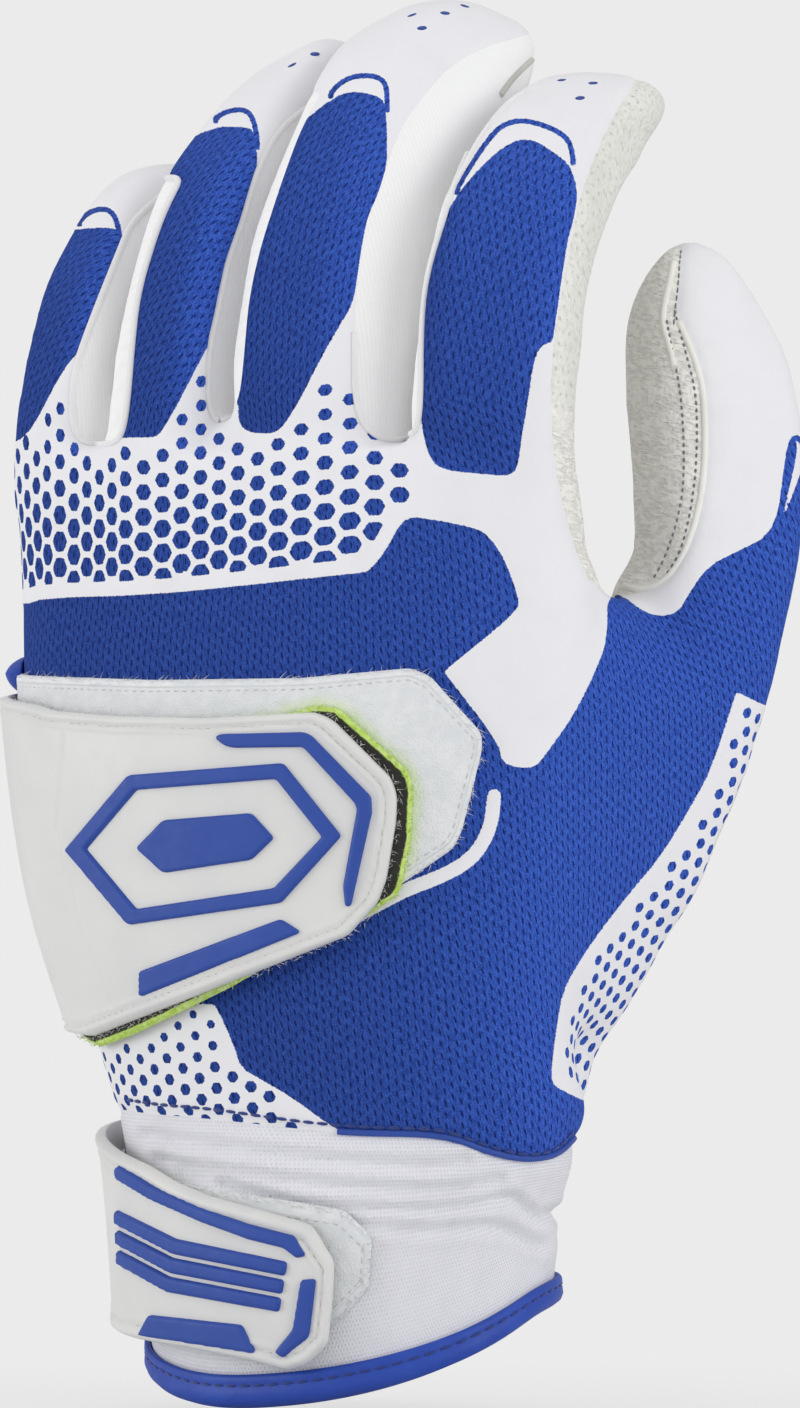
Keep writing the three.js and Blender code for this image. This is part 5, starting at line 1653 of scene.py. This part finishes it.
# %% Wrist strap
wrist_loop = [(165, 26), (165, 8)] + on_hand([
    (200, 1345), (290, 1352), (340, 1319), (369, 1288), (372, 1238), (344, 1210), (300, 1203),
    (200, 1188)], LOOP_REACH)
wrist_tab = [(226, 29), (200, 30), (182, 30)] + on_hand([
    (140, 1165), (170, 1183), (203, 1196), (281, 1217), (309, 1225), (333, 1262), (331, 1300), (326, 1344),
    (306, 1364), (285, 1371), (246, 1361), (190, 1350), (140, 1341)], TAB_REACH) + [
    (182, 5.6), (200, 5.5), (226, 5.5)]
wrist_hook = on_hand([
    (150, 1175), (205, 1203), (281, 1226), (305, 1234), (323, 1265), (318, 1338), (300, 1354), (285, 1360),
    (150, 1335)], HOOK_REACH, True)
piece = patch("wrist_loop_pad", wrist_loop, LOOP_FLOOR, LOOP_EDGE, LOOP_PILE)
ride(piece, "hand", "wrist_strap_loop_pad")
piece = patch("wrist_strap_band", wrist_tab, strap_floor(168, 188), tab_profile, MOULDED_WHITE,
              step=0.36, corner=1.2)
strap_bend(piece, "wrist_strap")
piece = patch("wrist_hook_pad", wrist_hook, HOOK_FLOOR, HOOK_EDGE, HOOK_TAPE)
ride(piece, "wrist_strap", "wrist_strap_hook_pad")
wrist_marks = {
    "upper_bar": [(116, 1169), (119, 1166), (150, 1186), (200, 1209), (250, 1226), (293, 1237), (305, 1255),
                  (296, 1257), (283, 1247), (250, 1239), (200, 1221), (150, 1199), (117, 1179)],
    "lower_bar": [(139, 1335), (149, 1316), (241, 1326), (254, 1353)],
    "end_bar": [(301, 1281), (315, 1280), (308, 1337), (282, 1357), (275, 1352), (293, 1330)],
    "grip_rib_1": [(116, 1211), (175, 1240), (286, 1263), (284, 1275), (172, 1253), (116, 1224)],
    "grip_rib_2": [(117, 1231), (172, 1259), (283, 1281), (281, 1293), (169, 1272), (117, 1244)],
    "grip_rib_3": [(118, 1251), (169, 1278), (280, 1299), (278, 1311), (166, 1291), (118, 1264)],
}
for name, places in wrist_marks.items():
    line = on_hand(places, MARK_REACH, True)
    piece = patch("wrist_" + name, line, MARK_FLOOR, soft_edge(0.8, 0.25), RAISED_BLUE,
                  step=0.26, corner=0.35, grow=0.12)
    nodes = () if name == "end_bar" else ("wrist_strap_" + name,)
    ride(piece, "wrist_strap", *nodes)

# %% [markdown]
# ## Rolled seams and stitches
# A seam line becomes a path, and Geometry Nodes turn the path into a rolled edge or a row of stitches. The
# path is a mesh of edges, so one path may hold several lines.

# %% Geometry Nodes for paths


def path_group(name, spacing, inputs):
    """A new Geometry Nodes group: its inputs, its path in even steps, a way to add nodes and its ending."""
    group = bpy.data.node_groups.new(name, "GeometryNodeTree")
    group.interface.new_socket("Geometry", in_out="INPUT", socket_type="NodeSocketGeometry")
    group.interface.new_socket("Geometry", in_out="OUTPUT", socket_type="NodeSocketGeometry")
    for label, kind in {spacing: "Float", **inputs, "Material": "Material"}.items():
        group.interface.new_socket(label, in_out="INPUT", socket_type="NodeSocket" + kind)
    given, result = group.nodes.new("NodeGroupInput").outputs, group.nodes.new("NodeGroupOutput").inputs

    def add(kind, links=(), output=0, **settings):
        node = group.nodes.new(kind if kind.startswith(("Function", "Shader")) else "GeometryNode" + kind)
        for key, value in settings.items():
            setattr(node, key, value)
        for socket, value in dict(links).items():
            if isinstance(value, bpy.types.NodeSocket):
                group.links.new(value, node.inputs[socket])
            else:
                node.inputs[socket].default_value = value
        return node.outputs[output]

    def end(geometry):
        real = add("RealizeInstances", {"Geometry": geometry})
        painted = add("SetMaterial", {"Geometry": real, "Material": given["Material"]})
        group.links.new(painted, result[0])
        return group

    path = add("MeshToCurve", {"Mesh": given["Geometry"]})
    even = add("ResampleCurve", {"Curve": path, "Length": given[spacing]}, mode="LENGTH")
    return given, even, add, end


def rolled_edge_group():
    """Sweeps a small circle along the path."""
    given, even, add, end = path_group("rolled_edge", "Step", {"Radius": "Float"})
    circle = add("CurvePrimitiveCircle", {"Resolution": 7, "Radius": given["Radius"]})
    tube = add("CurveToMesh", {"Curve": even, "Profile Curve": circle, "Fill Caps": True})
    return end(add("SetShadeSmooth", {"Geometry": tube}))


def stitches_group():
    """Puts a short rounded stitch at even steps along the path."""
    given, even, add, end = path_group("stitches", "Pitch", {"Length": "Float", "Radius": "Float"})
    ball = add("MeshUVSphere", {"Segments": 6, "Rings": 4, "Radius": 1.0})
    half = add("ShaderNodeMath", {0: given["Length"], 1: 0.5}, operation="MULTIPLY")
    scale = add("ShaderNodeCombineXYZ", {0: given["Radius"], 1: given["Radius"], 2: half})
    stitch = add("Transform", {"Geometry": ball, "Scale": scale})
    smooth = add("SetShadeSmooth", {"Geometry": stitch})
    aim = add("FunctionNodeAlignRotationToVector", {"Vector": add("InputTangent")}, axis="Z")
    return end(add("InstanceOnPoints", {"Points": even, "Instance": smooth, "Rotation": aim}))


def fuzz_group():
    """Strews short loose fibres along the path, each turned, sized and shifted at random."""
    inputs = {"Length": "Float", "Radius": "Float", "Spread": "Float", "Seed": "Int"}
    given, even, add, end = path_group("fuzz", "Pitch", inputs)

    def chance(low, high):
        return add("FunctionNodeRandomValue", {"Min": low, "Max": high, "Seed": given["Seed"]},
                   data_type="FLOAT_VECTOR")

    points = add("CurveToPoints", {"Curve": even}, mode="EVALUATED")
    away = add("ShaderNodeVectorMath", {"Vector": chance((-1, -1, -1), (1, 1, 1)), "Scale": given["Spread"]},
               operation="SCALE")
    moved = add("SetPosition", {"Geometry": points, "Offset": away})
    fibre = add("MeshCone", {"Vertices": 4, "Radius Top": 0.0, "Radius Bottom": given["Radius"],
                             "Depth": given["Length"]})
    turned = add("FunctionNodeEulerToRotation", {"Euler": chance((0.3, -1.2, -1.3), (2.8, 1.2, 1.3))})
    limits = {2: 0.45, 3: 1.3, "Seed": given["Seed"]}
    size = add("FunctionNodeRandomValue", limits, output=1, data_type="FLOAT")
    row = {"Points": moved, "Instance": fibre, "Rotation": turned, "Scale": size}
    return end(add("InstanceOnPoints", row))


# %% Pieces along a path


def along_path(name, lines, group, values, slot):
    """A piece made by a node group along one or more lines of points, with its lengths in millimetres."""
    mesh = bpy.data.meshes.new(name)
    points, edges, start = [], [], 0
    for line in lines:
        points += [tuple(p) for p in np.asarray(line) * MM]
        edges += [(start + i, start + i + 1) for i in range(len(line) - 1)]
        start += len(line)
    mesh.from_pydata(points, edges, [])
    piece = bpy.data.objects.new(name, mesh)
    bpy.context.collection.objects.link(piece)
    steps = piece.modifiers.new(group.name, "NODES")
    steps.node_group = group
    sockets = {item.name: item.identifier for item in group.interface.items_tree if item.in_out == "INPUT"}
    for label, value in values.items():
        steps[sockets[label]] = value * MM if isinstance(value, float) else value
    made = evaluated(piece)
    piece.modifiers.clear()
    piece.data = made
    made.name = name
    print(name, len(made.polygons))
    return piece


ROLLED_EDGE, STITCHES, FUZZ = rolled_edge_group(), stitches_group(), fuzz_group()


def roll(radius, step, material):
    return ROLLED_EDGE, {"Radius": radius, "Step": step, "Material": material}


def thread(pitch, length, radius, material):
    return STITCHES, {"Pitch": pitch, "Length": length, "Radius": radius, "Material": material}


def fluff(seed, pitch=0.22, length=1.3, radius=0.05, material=WHITE_THREAD):
    return FUZZ, {"Pitch": pitch, "Length": length, "Radius": radius, "Spread": 0.35, "Seed": seed,
                  "Material": material}


# %% Rolled edges round the side knit
RIM_TOP, RIM_OUT, RIM_ROUNDS = 148, 0.12, 12


def edge_loop(cloth):
    """The longest edge of a cloth as a closed row of point numbers."""
    follow, loops = dict(rim_edges(cloth["tri"].astype(np.int64), len(cloth["point"])).tolist()), []
    while follow:
        first, spot = next(iter(follow.items()))
        loop = [first]
        del follow[first]
        while spot in follow:
            loop.append(spot)
            spot = follow.pop(spot)
        loops.append(np.array(loop))
    return max(loops, key=len)


def smooth_line(line, rounds, closed=False):
    """Evens out a line of points."""
    line = np.array(line, float)
    for _ in range(rounds):
        middle = 0.5 * line + 0.25 * (np.roll(line, 1, axis=0) + np.roll(line, -1, axis=0))
        if not closed:
            middle[[0, -1]] = line[[0, -1]]
        line = middle
    return line


def kept_runs(line, keep, least):
    """The stretches of a line that are kept, where they have more than a least number of points."""
    breaks = np.where(np.diff(keep.astype(int)))[0] + 1
    pairs = zip(np.split(line, breaks), np.split(keep, breaks))
    return [run for run, kept in pairs if kept[0] and len(run) > least]


strips = sorted(list(islands(knit_cloth))[:3], key=lambda part: part["point"][:, 0].mean())
for part, (left, right) in zip(strips, GAPS):
    loop = edge_loop(part)
    line = smooth_line(part["point"][loop] + part["normal"][loop] * RIM_OUT, RIM_ROUNDS, closed=True)
    number = np.where(part["owner"][loop] < 4.5, part["owner"][loop].round(), -1)
    middle_x = part["point"][loop][number < 0][:, 0].mean() if (number < 0).any() else 0.0
    mine = np.where(number < 0, line[:, 0] < middle_x, number == FINGER_NAMES.index(left))
    change = int(np.argmax(mine & ~np.roll(mine, 1)))
    line, mine = np.roll(line, -change, axis=0), np.roll(mine, -change)
    last = len(mine) - int(np.argmax(mine[::-1]))
    rest = np.vstack([line[last - 1:], line[:1]])
    for name, side, run in ((left, "inner", line[:last]), (right, "outer", rest)):
        low = run[:, 2] < (RIM_TOP if (name, side) == ("middle", "inner") else math.inf)
        runs = [stretch[::2] for stretch in kept_runs(run, low, 8)]
        bend(along_path(f"{name}_rim_{side}", runs, *roll(0.55, 0.8, ROLLED_KNIT), "white_knit"), name)

# %% Seams on the fingers, the cuff and the hem
skin_tree = BVHTree.FromPolygons(FORM.tolist(), TRIANGLES.tolist())


def on_skin(places, out, times=2):
    """Points on the filled form under a line of places in the picture."""
    line = []
    for place in soft_line(places, times):
        hit, normal, _, _ = skin_tree.ray_cast(*sight(place))
        if hit is not None:
            line.append(np.array(hit) + np.array(normal) * out)
    return smooth_line(line, 2)


THUMB_ROWS = [
    [(667, 322), (671, 344), (675, 362), (680, 388), (682, 410), (684, 440), (684, 480), (681, 505),
     (674, 533), (664, 560), (655, 576)],
    [(675, 312), (681, 336), (688, 360), (694, 385), (697, 405), (697, 455), (694, 490), (688, 525),
     (680, 553), (668, 572)]]
THUMB_SEAM = [(681, 252), (679, 270), (678, 290), (675, 308), (674, 322)]
THUMB_FOLDS = [
    [(679, 322), (687, 340), (696, 362), (703, 390), (705, 420), (705, 456), (702, 490), (696, 520),
     (686, 550), (672, 574), (655, 587), (638, 591), (624, 585)],
    [(674, 262), (669, 284), (663, 310), (663, 326), (669, 344), (674, 366)]]
MIDDLE_EDGE = [(500, 95), (506, 86), (514, 76), (524, 66), (531, 60)]
INDEX_RIM = [(447, 205), (452, 193), (461, 174), (472, 152), (485, 131), (498, 114), (511, 101), (522, 94)]
CUFF_STITCH = [(131, 1100), (160, 1105), (210, 1108), (288, 1120), (345, 1126), (400, 1128), (446, 1129),
               (489, 1147), (528, 1156), (556, 1150), (570, 1134)]
CUFF_ROLL = [(338, 1131), (345, 1132), (374, 1133), (446, 1134), (489, 1152), (528, 1160), (558, 1154),
             (573, 1138)]
finger_seams = [
    ("thumb", "thumb_stitches", [on_skin(row, 0.02) for row in THUMB_ROWS],
     thread(1.12, 0.72, 0.21, GREY_THREAD), "palm_leather"),
    ("thumb", "thumb_seam", [on_skin(THUMB_SEAM, 0.0)], thread(1.3, 1.2, 0.17, GREY_THREAD), "palm_leather"),
    ("thumb", "thumb_folds", [on_skin(row, -0.15, 3) for row in THUMB_FOLDS], roll(0.56, 0.7, LEATHER_LIP),
     "palm_leather"),
    # The middle fingertip's edge is a darker leather, as painted shade
    ("middle", "middle_tip_edge", [on_skin(MIDDLE_EDGE, 0.1)], roll(0.5, 0.6, SHADED_LEATHER_EDGE), "palm_leather"),
    ("index", "index_rim_upper", [on_skin(INDEX_RIM, 0.0)], roll(0.5, 0.8, ROLLED_KNIT), "white_knit"),
]
for finger_name, name, lines, kind, slot in finger_seams:
    bend(along_path(name, lines, *kind, slot), finger_name)
hem_row = fitted(hand_point(np.linspace(192, 540, 160), 2.75, 1.05))
hand_seams = [
    ("cuff_stitches", on_skin(CUFF_STITCH, 0.12), thread(2.2, 1.9, 0.3, BLUE_THREAD), "blue_knit"),
    ("hem_stitches", hem_row, thread(2.5, 2.0, 0.26, BLUE_THREAD), "blue_binding"),
    ("cuff_seam_roll", on_skin(CUFF_ROLL, 0.1, 3), roll(0.55, 0.8, RAISED_BLUE), "blue_knit"),
]
for name, line, kind, slot in hand_seams:
    ride(along_path(name, [line], *kind, slot), "hand")

# %% Stitches and fuzz along the straps
ON_BACK = 158


def inset_line(outline, inset, corner=1.2):
    """A line of angles and heights that follows a patch's outline at a distance inside it."""
    line = soften(flattened(outline), corner)
    sides = list(zip(line, np.roll(line, -1, axis=0)))
    line = np.array([a + (b - a) * t for a, b in sides for t in CORNER_STEPS[:-1]])
    way = np.roll(line, -1, axis=0) - np.roll(line, 1, axis=0)
    way = way / np.maximum(np.linalg.norm(way, axis=1), 1e-6)[:, None]
    area = np.sum(line[:, 0] * np.roll(line[:, 1], -1) - line[:, 1] * np.roll(line[:, 0], -1))
    line = line + np.column_stack([-way[:, 1], way[:, 0]]) * np.sign(area) * inset
    return line / (DEGREE, 1)


def strap_row(name, outline, inset, out, kind, slot, body, last=ON_BACK):
    """A row along a patch's edge, only where the patch lies on the back of the hand."""
    angle, height = inset_line(outline, inset).T
    runs = kept_runs(hand_point(angle, height, out), angle < last, 3)
    ride(along_path(name, runs, *kind, slot), body)


tab_seam = thread(1.5, 0.95, 0.13, WHITE_THREAD)
lime_fluff = fluff(5, pitch=0.16, length=0.9, radius=0.07, material=LIME_THREAD)
strap_row("hand_tab_stitches", tab_line, 1.55, TAB_FLOOR + 1.28, tab_seam, "white_rubber", "hand_strap")
strap_row("wrist_tab_stitches", wrist_tab, 1.55, TAB_FLOOR + 1.28, tab_seam, "white_rubber", "wrist_strap")
strap_row("hand_pad_stitches", loop_line, 1.7, LOOP_FLOOR + 0.95, tab_seam, "loop_pile", "hand")
strap_row("wrist_pad_stitches", wrist_loop, 1.5, LOOP_FLOOR + 0.95, tab_seam, "loop_pile", "hand")
strap_row("hand_pad_fuzz", loop_line, 0.3, LOOP_FLOOR + 0.6, fluff(7), "loop_pile", "hand", 166)
strap_row("wrist_pad_fuzz", wrist_loop, 0.3, LOOP_FLOOR + 0.7, fluff(7, pitch=0.12), "loop_pile", "hand", 160)
strap_row("hand_tab_fuzz", tab_line, -0.15, TAB_FLOOR + 0.2, fluff(11, length=1.0), "hook_pile", "hand_strap")
strap_row("hand_hook_fuzz", hook_line, 0.2, HOOK_FLOOR + 0.6, lime_fluff, "hook_pile", "hand_strap")

# %% [markdown]
# The film over three fingertips has a few small holes. Each is a flat blue lens on the cloth.

# %% Dots at the fingertips
TIP_DOTS = {"ring": [(292, 65), (315, 54)], "middle": [(412, 15), (422, 28), (445, 13), (465, 6)],
            "index": [(562, 80), (593, 83), (580, 98)]}
DOT_HALF, DOT_RISE, DOT_ROOT, DOT_SIDES = (0.75, 0.66), 0.09, 0.2, 12
for name, places in TIP_DOTS.items():
    points, faces = [], []
    for place in places:
        hit, out, _, _ = skin_tree.ray_cast(*sight(place))
        hit, out = np.array(hit), np.array(out)
        side = np.cross(out, (0.0, -1.0, 0.0) if abs(out[1]) < 0.9 else (0.0, 0.0, 1.0))
        side /= np.linalg.norm(side)
        turns = np.linspace(0, 2 * math.pi, DOT_SIDES, endpoint=False)[:, None]
        ring = hit + DOT_HALF[0] * np.cos(turns) * side + DOT_HALF[1] * np.sin(turns) * np.cross(out, side)
        first = len(points)
        top, foot = first + DOT_SIDES, first + DOT_SIDES + 1
        points += [*ring, hit + DOT_RISE * out, hit - DOT_ROOT * out]
        for k in range(DOT_SIDES):
            a, b = first + k, first + (k + 1) % DOT_SIDES
            faces += [(a, b, top), (b, a, foot)]
    piece = mesh_object(f"{name}_tip_dots", np.array(points), faces)
    piece.data.materials.append(RAISED_BLUE)
    ride(piece, name + "_end")
    print(piece.name, len(faces), "triangles")

# %% [markdown]
# ## Floor, backdrop and light
# A pale floor and a broad soft light, as in a product picture. The floor and the world show the picture's
# grey to the camera, and the floor keeps the glove's soft shadow.

# %% Floor
GREY = (0.831, 0.831, 0.831)
SHADOW_REACH = 0.16
FLOOR_LEVEL = CAD_BOX[0][2] / MM - 1.0
FLOOR_HALF = 6000.0


def floor_finish():
    """Plain picture grey far off, and a lit floor that takes the shadow close to the glove."""
    finish = Finish("pale_floor", GREY, 0.9, specular_ior_level=0.0)
    far = finish.vectors("LENGTH", finish.solid(), output="Value")
    plain = far.between(0.3 * SHADOW_REACH, SHADOW_REACH, 0.84, 1.0, "SMOOTHSTEP")
    seen = finish.node("LightPath", output="Is Camera Ray") * plain
    lit, glow = Signal(finish, finish.shader.outputs[0]), finish.node("Emission", GREY, 1.0)
    both = finish.node("MixShader", seen, lit, glow)
    finish.feed(finish.tree.nodes["Material Output"].inputs[0], both)
    return finish.material


corners = [(-1, -1), (1, -1), (1, 1), (-1, 1)]
floor = mesh_object("floor", np.array([(x * FLOOR_HALF, y * FLOOR_HALF, FLOOR_LEVEL) for x, y in corners]),
                    [[0, 1, 2, 3]])
floor.data.materials.append(floor_finish())
print("floor at", round(FLOOR_LEVEL, 1), "mm")

# %% World and lights
WORLD_LIGHT = 0.70
world = bpy.data.worlds.new("studio")
bpy.context.scene.world = world
world.use_nodes = True
sky = world.node_tree.nodes["Background"]
sky.inputs[0].default_value = (*GREY, 1)
paths = world.node_tree.nodes.new("ShaderNodeLightPath")
level = world.node_tree.nodes.new("ShaderNodeMapRange")
level.inputs[3].default_value = WORLD_LIGHT
level.inputs[4].default_value = 1.0
world.node_tree.links.new(paths.outputs["Is Camera Ray"], level.inputs[0])
world.node_tree.links.new(level.outputs[0], sky.inputs[1])


def soft_light(name, place, aim, size, strength):
    """A square lamp turned to a point on the glove."""
    data = bpy.data.lights.new(name, "AREA")
    data.shape = "SQUARE"
    data.size = size
    data.energy = strength
    lamp = bpy.data.objects.new(name, data)
    lamp.location = place
    lamp.rotation_euler = (Vector(aim) - Vector(place)).to_track_quat("-Z", "Y").to_euler()
    bpy.context.collection.objects.link(lamp)
    print(name, "light", strength, "W")


soft_light("key", (1.1, -1.15, 0.55), (0, 0, 0.09), 0.9, 9.0)
soft_light("fill", (-1.5, -0.25, 0.25), (0, 0, 0.09), 1.0, 10.0)
soft_light("top", (-0.1, 0.1, 1.2), (0, 0, 0.1), 0.8, 2.0)
bpy.context.scene.view_settings.view_transform = "Standard"

# %% Size of the solids
print("solids", [[round(float(v) / MM, 1) for v in corner] for corner in CAD_BOX])
